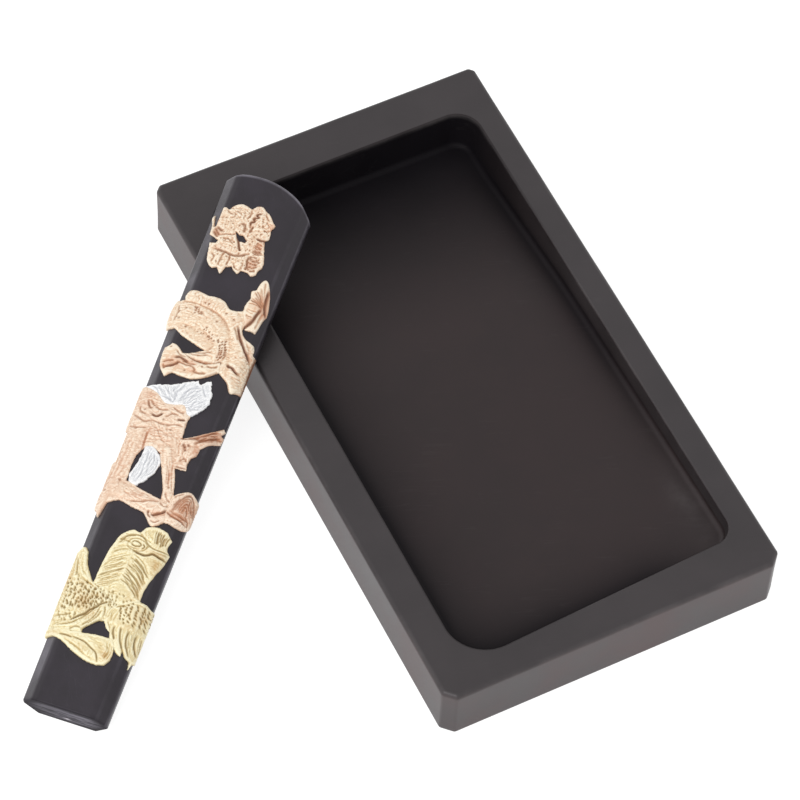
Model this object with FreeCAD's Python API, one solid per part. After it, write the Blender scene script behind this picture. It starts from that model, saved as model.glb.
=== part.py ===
import FreeCAD, Part
import math
import os

Vector = FreeCAD.Vector

# ---------------------------------------------------------------- stone slab
SLAB_WIDTH = 71.6
SLAB_LENGTH = 130.0
SLAB_HEIGHT = 13.5
SLAB_TOP_ROUND = 0.9
SLAB_FOOT_ROUND = 0.5

# The chamfer ground on each upright corner: front left, front right, back right, back left.
SLAB_CORNER_CHAMFERS = [2.2, 2.2, 1.0, 1.2]

# Corners of the well's rim, seen from above, with the radius ground into each of them.
# The front wall is cut a little out of square, as the hand-finished stone has it.
RIM_CORNERS = [
    ((-28.9, 55.6), 5.5),
    ((30.1, 55.6), 5.2),
    ((30.2, -56.2), 4.2),
    ((-28.9, -59.1), 8.2),
]
RIM_ROUND = 0.5
WALL_DRAFT = 9.0          # degrees that the well's walls lean outward
WELL_FOOT_ROUND = 1.3

# The well's floor along its length: where it bends, how deep it is there, and the bend's radius.
FLOOR_PROFILE = [
    (-70.0, 3.2, 0.0),
    (12.0, 5.4, 90.0),
    (45.0, 8.4, 45.0),
    (70.0, 8.4, 0.0),
]

# ---------------------------------------------------------------- ink stick
STICK_LENGTH = 115.9
STICK_FOOT_WIDTH = 16.8
STICK_HEAD_WIDTH = 18.8
STICK_THICKNESS = 7.5
FACE_BEVEL_WIDTH = 3.2
FACE_BEVEL_DEPTH = 2.5
BACK_BEVEL_WIDTH = 2.6
SIDE_FACET = 1.4
HEAD_ARCH_RADIUS = 16.0
HEAD_ARCH_OFFSET = -2.5   # the arch's crown stands a little to the left of the middle
END_BEVEL = 0.3

# How the stick leans: the middle of its foot's back edge on the table, and its bearing in plan.
LEAN_FOOT = (-98.2, -31.8)
LEAN_HEADING = 44.6
LEAN_GAP = 0.06

# ---------------------------------------------------------------- relief on the stick
RELIEF_RISE = 1.0
RELIEF_SIDE_RISE = 0.75

SIDE = 12.0               # well past the stick's flank: an outline that reaches it wraps over the edge

# Outlines on the stick's face: distance across from its middle and distance up from its foot.
# Each outline is a list of strokes. A stroke of two points is straight, a longer one is one smooth curve,
# and each stroke starts where the last one ended.
CLOUD = [
    [(-7.3, 107.5), (-6.7, 107.5), (-6.0, 107.2)],
    [(-6.0, 107.2), (-5.3, 108.3), (-3.8, 109.1), (-1.8, 108.6)],
    [(-1.8, 108.6), (-1.0, 109.5), (0.1, 109.7), (1.0, 109.0)],
    [(1.0, 109.0), (2.1, 108.4), (3.0, 107.3), (3.8, 106.4), (3.3, 105.3)],
    [(3.3, 105.3), (3.6, 104.2), (3.5, 103.2), (2.9, 102.7)],
    [(2.9, 102.7), (3.7, 100.2)],
    [(3.7, 100.2), (4.2, 98.7), (4.4, 97.4), (3.9, 96.3)],
    [(3.9, 96.3), (3.6, 95.2), (2.7, 94.8), (1.9, 95.2), (0.6, 95.3)],
    [(0.6, 95.3), (0.1, 94.5), (-0.8, 94.9), (-1.5, 95.6)],
    [(-1.5, 95.6), (-2.5, 95.1)],
    [(-2.5, 95.1), (-2.8, 93.8), (-3.3, 93.4), (-4.1, 94.5)],
    [(-4.1, 94.5), (-5.2, 94.2), (-6.3, 95.1), (-6.8, 96.8)],
    [(-6.8, 96.8), (-7.3, 99.4)],
    [(-7.3, 99.4), (-6.1, 99.5)],
    [(-6.1, 99.5), (-5.9, 100.1)],
    [(-5.9, 100.1), (-7.9, 101.2)],
    [(-7.9, 101.2), (-8.2, 103.4), (-8.8, 104.9), (-8.5, 106.0)],
    [(-8.5, 106.0), (-7.7, 103.0)],
    [(-7.7, 103.0), (-7.3, 103.1)],
    [(-7.3, 103.1), (-7.3, 107.5)],
]
CLOUD_EYE = [
    [(-3.1, 102.9), (-2.2, 102.5), (-1.5, 102.5), (-0.6, 101.7)],
    [(-0.6, 101.7), (-0.7, 101.2)],
    [(-0.7, 101.2), (-1.9, 101.3)],
    [(-1.9, 101.3), (-2.6, 102.0), (-3.1, 102.9)],
]
TAIL_FAN = [
    [(4.0, 87.2), (3.9, 88.6), (4.4, 90.2)],
    [(4.4, 90.2), (4.1, 91.7), (4.9, 92.3)],
    [(4.9, 92.3), (5.2, 93.9), (5.9, 94.9), (6.7, 94.3), (7.4, 92.7), (8.1, 89.8), (8.3, 88.0)],
    [(8.3, 88.0), (7.9, 86.6)],
    [(7.9, 86.6), (7.5, 83.6)],
    [(7.5, 83.6), (6.6, 83.6), (5.6, 83.5)],
    [(5.6, 83.5), (5.3, 84.4), (4.0, 87.2)],
]
CLAW = [
    [(3.6, 75.4), (4.0, 73.4)],
    [(4.0, 73.4), (2.2, 71.9), (0.6, 71.0), (-1.4, 70.4), (-4.5, 70.6)],
    [(-4.5, 70.6), (-5.8, 69.5)],
    [(-5.8, 69.5), (-7.2, 71.3), (-7.7, 73.6), (-7.7, 75.5)],
    [(-7.7, 75.5), (-7.0, 76.1), (-6.6, 76.8)],
    [(-6.6, 76.8), (-5.4, 76.4), (-3.9, 75.1)],
    [(-3.9, 75.1), (-1.2, 74.2), (1.2, 74.3), (3.6, 75.4)],
]
COIL = [
    [(-7.7, 87.1), (-7.3, 88.3), (-6.0, 88.7), (-3.3, 88.3)],
    [(-3.3, 88.3), (-1.8, 88.5), (0.0, 88.1), (1.6, 86.8), (4.0, 87.2)],
    [(4.0, 87.2), (5.3, 84.4)],
    [(5.3, 84.4), (5.4, 83.0), (6.4, 81.8), (8.0, 81.3), (8.4, 80.4)],
    [(8.4, 80.4), (8.4, 79.6)],
    [(8.4, 79.6), (SIDE, 79.2)],
    [(SIDE, 79.2), (SIDE, 71.4)],
    [(SIDE, 71.4), (8.6, 71.0), (7.3, 70.2), (6.6, 71.0)],
    [(6.6, 71.0), (5.9, 72.0), (4.0, 73.4)],
    [(4.0, 73.4), (3.6, 75.4)],
    [(3.6, 75.4), (1.2, 74.3), (-1.2, 74.2), (-3.9, 75.1)],
    [(-3.9, 75.1), (-2.2, 75.9), (-0.4, 77.0)],
    [(-0.4, 77.0), (-3.0, 77.8), (-5.6, 78.7), (-7.6, 80.1)],
    [(-7.6, 80.1), (-SIDE, 79.6)],
    [(-SIDE, 79.6), (-SIDE, 86.4)],
    [(-SIDE, 86.4), (-7.5, 86.4)],
    [(-7.5, 86.4), (-7.7, 87.1)],
]
UPPER_MANE = [
    [(-8.5, 67.0), (-7.0, 67.4), (-5.6, 67.8)],
    [(-5.6, 67.8), (-3.4, 68.5), (-1.4, 69.6), (1.0, 70.8)],
    [(1.0, 70.8), (1.6, 70.0)],
    [(1.6, 70.0), (2.4, 70.9), (3.5, 71.5)],
    [(3.5, 71.5), (3.9, 70.3), (4.5, 68.6), (4.7, 67.0), (4.3, 65.3), (3.2, 64.0), (2.0, 63.0)],
    [(2.0, 63.0), (1.2, 63.2)],
    [(1.2, 63.2), (0.1, 64.8), (-1.8, 64.4), (-3.6, 64.2), (-5.6, 65.7)],
    [(-5.6, 65.7), (-8.5, 67.0)],
]
LOWER_MANE = [
    [(-4.0, 54.6), (-2.6, 54.9), (-0.9, 53.8)],
    [(-0.9, 53.8), (-0.1, 52.2), (-0.2, 50.2), (-1.2, 48.2), (-3.0, 46.3), (-4.6, 46.8)],
    [(-4.6, 46.8), (-4.9, 48.4), (-4.4, 51.0), (-4.0, 54.6)],
]
FAN_FOOT = [
    [(4.6, 46.6), (6.0, 47.9), (7.4, 48.6), (8.7, 47.8)],
    [(8.7, 47.8), (9.4, 47.4)],
    [(9.4, 47.4), (9.5, 42.6)],
    [(9.5, 42.6), (8.6, 41.2), (7.2, 40.7), (4.8, 40.9)],
    [(4.8, 40.9), (4.4, 43.4), (4.6, 46.6)],
]
TORSO = [
    [(-SIDE, 68.0), (-8.6, 67.0)],
    [(-8.6, 67.0), (0.1, 66.2)],
    [(0.1, 66.2), (2.0, 63.0)],
    [(2.0, 63.0), (1.9, 61.0), (2.2, 58.3)],
    [(2.2, 58.3), (4.4, 59.6), (6.6, 61.3), (8.4, 63.4)],
    [(8.4, 63.4), (8.9, 62.9)],
    [(8.9, 62.9), (8.4, 61.8)],
    [(8.4, 61.8), (9.0, 61.6)],
    [(9.0, 61.6), (8.9, 60.1)],
    [(8.9, 60.1), (7.4, 58.9), (6.1, 57.2)],
    [(6.1, 57.2), (5.9, 55.6)],
    [(5.9, 55.6), (5.1, 54.6), (5.0, 53.2), (5.2, 52.1)],
    [(5.2, 52.1), (3.0, 52.0)],
    [(3.0, 52.0), (4.0, 49.2), (4.6, 46.6)],
    [(4.6, 46.6), (4.8, 40.9)],
    [(4.8, 40.9), (3.9, 39.9), (2.6, 39.4), (1.4, 40.5), (0.3, 41.6)],
    [(0.3, 41.6), (-2.3, 42.0), (-4.9, 42.6)],
    [(-4.9, 42.6), (-7.0, 41.5)],
    [(-7.0, 41.5), (-7.8, 38.2)],
    [(-7.8, 38.2), (-8.3, 39.8)],
    [(-8.3, 39.8), (-SIDE, 40.6)],
    [(-SIDE, 40.6), (-SIDE, 50.6)],
    [(-SIDE, 50.6), (-8.6, 50.6)],
    [(-8.6, 50.6), (-8.6, 57.0)],
    [(-8.6, 57.0), (-SIDE, 57.8)],
    [(-SIDE, 57.8), (-SIDE, 68.0)],
]
TORSO_GAP = [
    [(-5.0, 52.2), (-5.1, 49.6), (-5.0, 46.8)],
    [(-5.0, 46.8), (-2.6, 46.2), (2.5, 45.2)],
    [(2.5, 45.2), (2.2, 47.0), (1.2, 49.4), (0.0, 52.2)],
    [(0.0, 52.2), (-0.9, 54.1)],
    [(-0.9, 54.1), (-2.6, 54.9), (-4.0, 54.6)],
    [(-4.0, 54.6), (-5.0, 52.2)],
]
HEAD_AND_MANE = [
    [(-3.6, 25.2), (-3.5, 28.4), (-3.2, 32.0), (-2.5, 34.9)],
    [(-2.5, 34.9), (-2.0, 36.2), (-0.9, 37.3), (0.0, 37.8), (1.3, 37.6)],
    [(1.3, 37.6), (2.2, 39.0), (4.2, 39.6), (6.2, 39.2)],
    [(6.2, 39.2), (7.3, 38.0)],
    [(7.3, 38.0), (7.0, 36.2), (7.8, 35.2)],
    [(7.8, 35.2), (7.4, 32.8), (6.8, 30.4), (6.1, 27.2), (6.0, 24.4)],
    [(6.0, 24.4), (2.6, 22.6), (-1.0, 24.0), (-3.6, 25.2)],
]
CLUB_FOOT = [
    [(-SIDE, 12.6), (-7.0, 13.1)],
    [(-7.0, 13.1), (-5.2, 12.5), (-2.4, 11.1), (0.4, 10.1), (2.8, 9.9)],
    [(2.8, 9.9), (4.4, 10.6), (5.0, 12.4), (4.6, 14.6)],
    [(4.6, 14.6), (3.6, 15.6), (1.0, 15.7), (-2.2, 15.2)],
    [(-2.2, 15.2), (-6.0, 14.8), (-SIDE, 14.6)],
    [(-SIDE, 14.6), (-SIDE, 12.6)],
]
WING = [
    [(1.0, 18.7), (1.2, 21.0), (2.6, 22.6)],
    [(2.6, 22.6), (6.0, 24.4)],
    [(6.0, 24.4), (7.2, 24.5), (8.1, 24.1)],
    [(8.1, 24.1), (SIDE, 24.0)],
    [(SIDE, 24.0), (SIDE, 13.4)],
    [(SIDE, 13.4), (8.4, 12.9)],
    [(8.4, 12.9), (8.1, 11.2)],
    [(8.1, 11.2), (7.8, 12.9)],
    [(7.8, 12.9), (6.9, 13.3), (6.2, 14.4)],
    [(6.2, 14.4), (6.4, 12.9)],
    [(6.4, 12.9), (5.2, 13.5), (4.3, 15.0), (3.1, 15.9)],
    [(3.1, 15.9), (2.8, 16.8)],
    [(2.8, 16.8), (1.9, 17.4), (1.0, 18.7)],
]
BEAST_BODY = [
    [(-SIDE, 31.6), (-8.6, 31.2)],
    [(-8.6, 31.2), (-7.7, 32.1), (-6.7, 31.0), (-5.8, 28.4), (-3.6, 25.2)],
    [(-3.6, 25.2), (2.6, 24.0)],
    [(2.6, 24.0), (1.0, 18.7)],
    [(1.0, 18.7), (-0.2, 18.0), (-2.2, 15.9)],
    [(-2.2, 15.9), (-2.2, 15.2)],
    [(-2.2, 15.2), (-6.0, 14.2), (-SIDE, 14.0)],
    [(-SIDE, 14.0), (-SIDE, 31.6)],
]


def rounded_wire(points, radii):
    """A closed wire of straight runs with a tangent arc at each corner, or a sharp corner where it is 0."""
    corners = []
    for index, (corner, radius) in enumerate(zip(points, radii)):
        back = (points[index - 1] - corner).normalize()
        ahead = (points[(index + 1) % len(points)] - corner).normalize()
        half_angle = back.getAngle(ahead) / 2
        cut = radius / math.tan(half_angle)
        inward = (back + ahead).normalize() if radius else Vector()
        crown = corner + inward * (radius / math.sin(half_angle) - radius)
        corners.append((corner + back * cut, crown, corner + ahead * cut))
    edges = []
    for index, (start, crown, end) in enumerate(corners):
        if radii[index]:
            edges.append(Part.Arc(start, crown, end).toShape())
        edges.append(Part.makeLine(end, corners[(index + 1) % len(corners)][0]))
    return Part.Wire(edges)


def stroke_edge(stroke):
    """One straight or smoothly curved edge through a stroke's points."""
    points = [Vector(across, along, 0) for across, along in stroke]
    if len(points) == 2:
        return Part.makeLine(*points)
    curve = Part.BSplineCurve()
    curve.interpolate(points)
    return curve.toShape()


def outline_prism(strokes):
    """A prism up through the whole stick over an outline on its face."""
    face = Part.Face(Part.Wire([stroke_edge(stroke) for stroke in strokes]))
    return face.extrude(Vector(0, 0, 2 * STICK_THICKNESS))


def polygon_face(corners):
    """A flat face round a list of corners."""
    return Part.Face(Part.makePolygon(corners + corners[:1]))


def flat_sided(lower, upper):
    """A solid between two outlines of equally many corners, whose matching sides run parallel."""
    faces = [polygon_face(lower), polygon_face(upper)]
    for index in range(len(lower)):
        faces.append(polygon_face([lower[index - 1], lower[index], upper[index], upper[index - 1]]))
    return Part.Solid(Part.Shell(faces))


def edges_where(shape, test):
    """The edges of a shape whose bounding box passes a test."""
    return [edge for edge in shape.Edges if test(edge.BoundBox)]


# ---------------------------------------------------------------- stone slab
def rim_corners(height):
    """The well's sharp corners at a height, each moved out along its bisector by the walls' draft."""
    spread = math.tan(math.radians(WALL_DRAFT)) * (height - SLAB_HEIGHT)
    points = [Vector(x, y, height) for (x, y), _ in RIM_CORNERS]
    moved = []
    for index, corner in enumerate(points):
        back = (points[index - 1] - corner).normalize()
        ahead = (points[(index + 1) % len(points)] - corner).normalize()
        moved.append(corner - (back + ahead).normalize() * (spread / math.sin(back.getAngle(ahead) / 2)))
    return moved


def well_walls(low, high):
    """The space between the well's four flat, drafted walls, with a radius ground into each corner."""
    lower, upper = rim_corners(low), rim_corners(high)
    space = flat_sided(lower, upper)
    for start, end, (_, radius) in zip(lower, upper, RIM_CORNERS):
        middle = (start + end) / 2
        corner = min(space.Edges, key=lambda edge: edge.CenterOfMass.distanceToPoint(middle))
        space = space.makeFillet(radius, [corner])
    return space


def well_cutter():
    """The space of the well: drafted walls above a floor that falls away to the ink pool."""
    deepest = max(fall for _, fall, _ in FLOOR_PROFILE)
    lid = SLAB_HEIGHT + 2
    first, last = FLOOR_PROFILE[0][0], FLOOR_PROFILE[-1][0]
    section = [Vector(-SLAB_WIDTH, y, SLAB_HEIGHT - fall) for y, fall, _ in FLOOR_PROFILE]
    section += [Vector(-SLAB_WIDTH, last, lid), Vector(-SLAB_WIDTH, first, lid)]
    bends = [bend for _, _, bend in FLOOR_PROFILE] + [0, 0]
    above_floor = Part.Face(rounded_wire(section, bends)).extrude(Vector(2 * SLAB_WIDTH, 0, 0))
    space = well_walls(SLAB_HEIGHT - deepest - 1, SLAB_HEIGHT + 1).common(above_floor)
    below_rim = edges_where(space, lambda box: box.ZMax < SLAB_HEIGHT - 1)
    return space.makeFillet(WELL_FOOT_ROUND, [edge for edge in below_rim if is_wall_foot(space, edge)])


def is_wall_foot(space, edge):
    """True where an edge of the well's space lies between its floor and a wall."""
    steep = [abs(face.normalAt(0, 0).z) < 0.7 for face in space.ancestorsOfType(edge, Part.Face)]
    return any(steep) and not all(steep)


def slab_outline():
    """The slab seen from above: a rectangle with a chamfer ground on each corner."""
    corners = []
    for (side, end), cut in zip([(-1, -1), (1, -1), (1, 1), (-1, 1)], SLAB_CORNER_CHAMFERS):
        on_side = Vector(side * SLAB_WIDTH / 2, end * (SLAB_LENGTH / 2 - cut), 0)
        on_end = Vector(side * (SLAB_WIDTH / 2 - cut), end * SLAB_LENGTH / 2, 0)
        corners += [on_side, on_end] if side == end else [on_end, on_side]
    return polygon_face(corners)


def build_slab():
    """The stone block with its rounded edges and its well."""
    block = slab_outline().extrude(Vector(0, 0, SLAB_HEIGHT))
    block = block.makeFillet(SLAB_TOP_ROUND, edges_where(block, lambda box: box.ZMin > SLAB_HEIGHT - 0.01))
    block = block.makeFillet(SLAB_FOOT_ROUND, edges_where(block, lambda box: box.ZMax < 0.01))
    block = block.cut(well_cutter())
    rim = edges_where(block, lambda box: box.ZMin > SLAB_HEIGHT - 0.01 and box.XMax < 31 and box.XMin > -30)
    return block.makeFillet(RIM_ROUND, rim)


# ---------------------------------------------------------------- ink stick
def stick_section(width, along, side_rise, face_rise):
    """The corners of the stick's eight-sided section, grown at its sides and face by the relief's rise."""
    half = width / 2
    widest = STICK_THICKNESS - FACE_BEVEL_DEPTH
    flank = half + side_rise
    right = [
        (half - BACK_BEVEL_WIDTH, 0.0),
        (flank, widest - SIDE_FACET),
        (flank, widest),
        (half - FACE_BEVEL_WIDTH + side_rise / 2, STICK_THICKNESS + face_rise),
    ]
    left = [(-across, up) for across, up in reversed(right)]
    return [Vector(across, along, up) for across, up in right + left]


def stick_blank(side_rise=0.0, face_rise=0.0):
    """The tapered stick before its head is arched."""
    foot = stick_section(STICK_FOOT_WIDTH, 0.0, side_rise, face_rise)
    head = stick_section(STICK_HEAD_WIDTH, STICK_LENGTH, side_rise, face_rise)
    return flat_sided(foot, head)


def build_stick_core():
    """The stick's pressed body: a tapered bar with an arched head."""
    spring_line = STICK_LENGTH - HEAD_ARCH_RADIUS
    arch = Part.makeCylinder(HEAD_ARCH_RADIUS, STICK_THICKNESS, Vector(HEAD_ARCH_OFFSET, spring_line, 0))
    below = Part.makeBox(2 * SIDE, spring_line, STICK_THICKNESS, Vector(-SIDE, 0, 0))
    core = stick_blank().common(arch.fuse(below))
    return core.makeChamfer(END_BEVEL, edges_where(core, lambda box: box.YMax < 0.01))


def build_relief():
    """The gilded ornament: each motif stands proud of the core, wraps its bevels and abuts the next."""
    skin = stick_blank(RELIEF_SIDE_RISE, RELIEF_RISE)
    skin_foot = STICK_THICKNESS - FACE_BEVEL_DEPTH - SIDE_FACET / 2
    skin = skin.cut(Part.makeBox(2 * SIDE, STICK_LENGTH, skin_foot, Vector(-SIDE, 0, 0)))
    skin = skin.cut(stick_blank())
    prisms = {
        "relief_cloud": outline_prism(CLOUD).cut(outline_prism(CLOUD_EYE)),
        "relief_tail_fan": outline_prism(TAIL_FAN),
        "relief_claw": outline_prism(CLAW),
        "relief_coil": outline_prism(COIL),
        "mane_upper_silver": outline_prism(UPPER_MANE),
        "relief_fan_foot": outline_prism(FAN_FOOT),
        "relief_torso": outline_prism(TORSO).cut(outline_prism(TORSO_GAP)),
        "mane_lower_silver": outline_prism(LOWER_MANE),
        "gold_head_mane": outline_prism(HEAD_AND_MANE),
        "gold_club_foot": outline_prism(CLUB_FOOT),
        "gold_wing": outline_prism(WING),
        "gold_body": outline_prism(BEAST_BODY),
    }
    relief = {}
    for name, prism in prisms.items():
        solid = skin.common(prism)
        for neighbour in relief.values():
            solid = solid.cut(neighbour)
        relief[name] = solid
    return relief


def leaning():
    """The stick's place: its foot's back edge on the table, a back crease on the slab's rounded edge."""
    heading = math.radians(LEAN_HEADING)
    half_back = STICK_FOOT_WIDTH / 2 - BACK_BEVEL_WIDTH
    widening = (STICK_HEAD_WIDTH - STICK_FOOT_WIDTH) / 2 / STICK_LENGTH
    edge_across = -SLAB_WIDTH / 2 + SLAB_TOP_ROUND - LEAN_FOOT[0] - half_back * math.sin(heading)
    edge_up = SLAB_HEIGHT - SLAB_TOP_ROUND
    reach = math.hypot(edge_across, edge_up)
    climb = math.atan2(edge_up, edge_across) + math.asin((SLAB_TOP_ROUND + LEAN_GAP) / reach)
    level = math.atan(math.tan(climb) * math.cos(heading))
    slope = level + math.asin(math.cos(level) * math.tan(climb) * widening * math.sin(heading))
    turn = FreeCAD.Rotation(Vector(0, 0, 1), LEAN_HEADING - 90)
    turn = turn * FreeCAD.Rotation(Vector(1, 0, 0), math.degrees(slope))
    return FreeCAD.Placement(Vector(*LEAN_FOOT, 0), turn)


def main():
    """Build every piece and write one file for each."""
    os.makedirs("parts", exist_ok=True)
    stick = {"ink_stick_core": build_stick_core(), **build_relief()}
    for shape in stick.values():
        shape.Placement = leaning()
    for name, shape in {"stone_slab": build_slab(), **stick}.items():
        shape.exportStep(f"parts/{name}.step")


main()
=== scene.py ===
"""An inkstone slab with a gilded ink stick leaning on its long edge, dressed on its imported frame.

The slab is one carved stone. The stick is one pressed bar of ink, its ornament painted with metal powders.
Lengths are in millimetres until a mesh is made, and the ornament is drawn in tenths of one. Angles are in
degrees, apart from formulas and shader nodes, which take radians.
"""
import logging
import math
from dataclasses import dataclass
from enum import Enum

import bpy
import numpy as np
from mathutils import Matrix, Vector


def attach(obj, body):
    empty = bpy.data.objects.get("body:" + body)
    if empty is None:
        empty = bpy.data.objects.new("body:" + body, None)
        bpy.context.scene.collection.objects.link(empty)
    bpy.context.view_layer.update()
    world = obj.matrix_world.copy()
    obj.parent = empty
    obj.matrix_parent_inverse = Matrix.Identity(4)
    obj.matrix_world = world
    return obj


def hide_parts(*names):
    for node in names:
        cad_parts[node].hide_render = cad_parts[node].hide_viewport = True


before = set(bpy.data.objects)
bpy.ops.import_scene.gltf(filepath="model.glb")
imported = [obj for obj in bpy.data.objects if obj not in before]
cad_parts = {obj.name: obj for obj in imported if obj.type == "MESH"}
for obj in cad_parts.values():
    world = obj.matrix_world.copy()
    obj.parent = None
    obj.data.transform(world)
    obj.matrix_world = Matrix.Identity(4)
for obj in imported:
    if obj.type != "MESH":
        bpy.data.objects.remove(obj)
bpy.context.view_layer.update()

MM = 0.001
LOG = logging.getLogger("inkstone")
Array = np.ndarray
Pair = tuple[float, float]
Triple = tuple[float, float, float]
Colour = Triple
Socket = bpy.types.NodeSocket
Tree = bpy.types.NodeTree
Outputs = bpy.types.NodeOutputs
Material = bpy.types.Material
Piece = bpy.types.Object


# ================ helpers
def srgb(red: int, green: int, blue: int) -> Colour:
    """Turn a screen colour of 0 to 255 into linear light, by the sRGB curve."""
    channels = np.array([red, green, blue]) / 255
    linear = np.where(channels <= 0.04045, channels / 12.92, ((channels + 0.055) / 1.055) ** 2.4)
    return tuple(float(channel) for channel in linear)


def smoothstep(low: float, high: float, value: Array) -> Array:
    """Rise smoothly from 0 at low to 1 at high: t squared times (3 - 2t)."""
    ramp = np.clip((value - low) / (high - low), 0, 1)
    return ramp * ramp * (3 - 2 * ramp)


def bell(value: Array, middle: float | Pair | Array, reach: float | Pair) -> Array:
    """Return exp of minus the squared distance from a middle, in reaches, for numbers or rows of two."""
    squares = ((value - np.array(middle)) / np.array(reach)) ** 2
    return np.exp(-(squares.sum(-1) if np.ndim(middle) else squares))


def turned_axes(bearing: float) -> Array:
    """Return the matrix whose columns are the plane's axes turned by a bearing in degrees."""
    turn = math.radians(bearing)
    return np.array([[math.cos(turn), -math.sin(turn)], [math.sin(turn), math.cos(turn)]])


def link_object(name: str, data: bpy.types.ID) -> Piece:
    """Put data into the scene as a new object at the origin."""
    made = bpy.data.objects.new(name, data)
    bpy.context.scene.collection.objects.link(made)
    return made


def make_object(name: str, points: Array, faces: list[Array], values: dict[str, Array]) -> Piece:
    """Put arrays into a smooth-shaded mesh object that sits at the origin.

    Args:
        name: The object's name.
        points: One row of three millimetre coordinates for each vertex.
        faces: Arrays of vertex numbers, one row a face, each array with its own number of corners.
        values: Point attributes by name, one number a vertex.

    Returns:
        The new object, linked to the scene.
    """
    corners = np.concatenate([block.ravel() for block in faces]).astype(np.int32)
    sizes = np.concatenate([np.full(len(block), block.shape[1]) for block in faces])
    starts = np.concatenate([[0], np.cumsum(sizes)[:-1]]).astype(np.int32)
    mesh = bpy.data.meshes.new(name)
    mesh.vertices.add(len(points))
    mesh.vertices.foreach_set("co", (points * MM).astype(np.float32).ravel())
    mesh.loops.add(len(corners))
    mesh.loops.foreach_set("vertex_index", corners)
    mesh.polygons.add(len(sizes))
    mesh.polygons.foreach_set("loop_start", starts)
    mesh.polygons.foreach_set("use_smooth", np.ones(len(sizes), dtype=bool))
    for key, numbers in values.items():
        layer = mesh.attributes.new(key, "FLOAT", "POINT")
        layer.data.foreach_set("value", numbers.astype(np.float32).ravel())
    mesh.update(calc_edges=True)
    mesh.validate()
    return link_object(name, mesh)


def closed_rings(rings: Array) -> tuple[Array, list[Array]]:
    """Close a stack of rings into one skin.

    Neighbouring rings are joined by quads, and the first and last are closed by a fan to their middle.

    Args:
        rings: Array of ring, point, coordinate. The rings turn to the left about their direction.

    Returns:
        The vertices and the face arrays.
    """
    count, around, _ = rings.shape
    points = np.concatenate([rings.reshape(-1, 3), rings[0].mean(0)[None], rings[-1].mean(0)[None]])
    here = np.arange(around)
    ahead = np.roll(here, -1)
    row = (np.arange(count - 1) * around)[:, None]
    quads = np.stack([row + here, row + ahead, row + around + ahead, row + around + here], -1).reshape(-1, 4)
    first, last = count * around, count * around + 1
    top = (count - 1) * around
    fans = np.concatenate([np.stack([ahead, here, np.full(around, first)], 1),
                           np.stack([top + here, top + ahead, np.full(around, last)], 1)])
    return points, [quads, fans]


def rounded_outline(corners: tuple[Pair, ...], radii: tuple[float, ...], arc: int,
                    runs: tuple[int, ...]) -> tuple[Array, Array]:
    """Walk round a polygon whose corners are tangent arcs, anticlockwise.

    Each arc's middle lies back from its corner by radius / (1 + n0.n1) along the sum of the sides' normals.

    Args:
        corners: The sharp corners.
        radii: The radius of each corner.
        arc: Points along each arc.
        runs: Points strictly between each corner's arc and the next.

    Returns:
        Points and outward unit normals, both as rows of two numbers.
    """
    sharp = np.array(corners, dtype=float)
    side = np.roll(sharp, -1, 0) - sharp
    side /= np.linalg.norm(side, axis=1)[:, None]
    leaving = np.stack([side[:, 1], -side[:, 0]], 1)
    arriving = np.roll(leaving, 1, 0)
    reach = np.array(radii)[:, None] / (1 + (leaving * arriving).sum(1, keepdims=True))
    middles = sharp - (leaving + arriving) * reach
    first = np.arctan2(arriving[:, 1], arriving[:, 0])
    turn = np.mod(np.arctan2(leaving[:, 1], leaving[:, 0]) - first, 2 * math.pi)
    angles = first[:, None] + turn[:, None] * np.linspace(0, 1, arc)
    normals = np.stack([np.cos(angles), np.sin(angles)], -1)
    points = middles[:, None] + normals * np.array(radii)[:, None, None]
    walked, facing = [], []
    for index, count in enumerate(runs):
        share = np.linspace(0, 1, count + 2)[1:-1, None]
        start, end = points[index, -1], points[(index + 1) % len(runs), 0]
        walked += [points[index], start + (end - start) * share]
        facing += [normals[index], np.repeat(leaving[index][None], count, 0)]
    return np.concatenate(walked), np.concatenate(facing)


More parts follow.
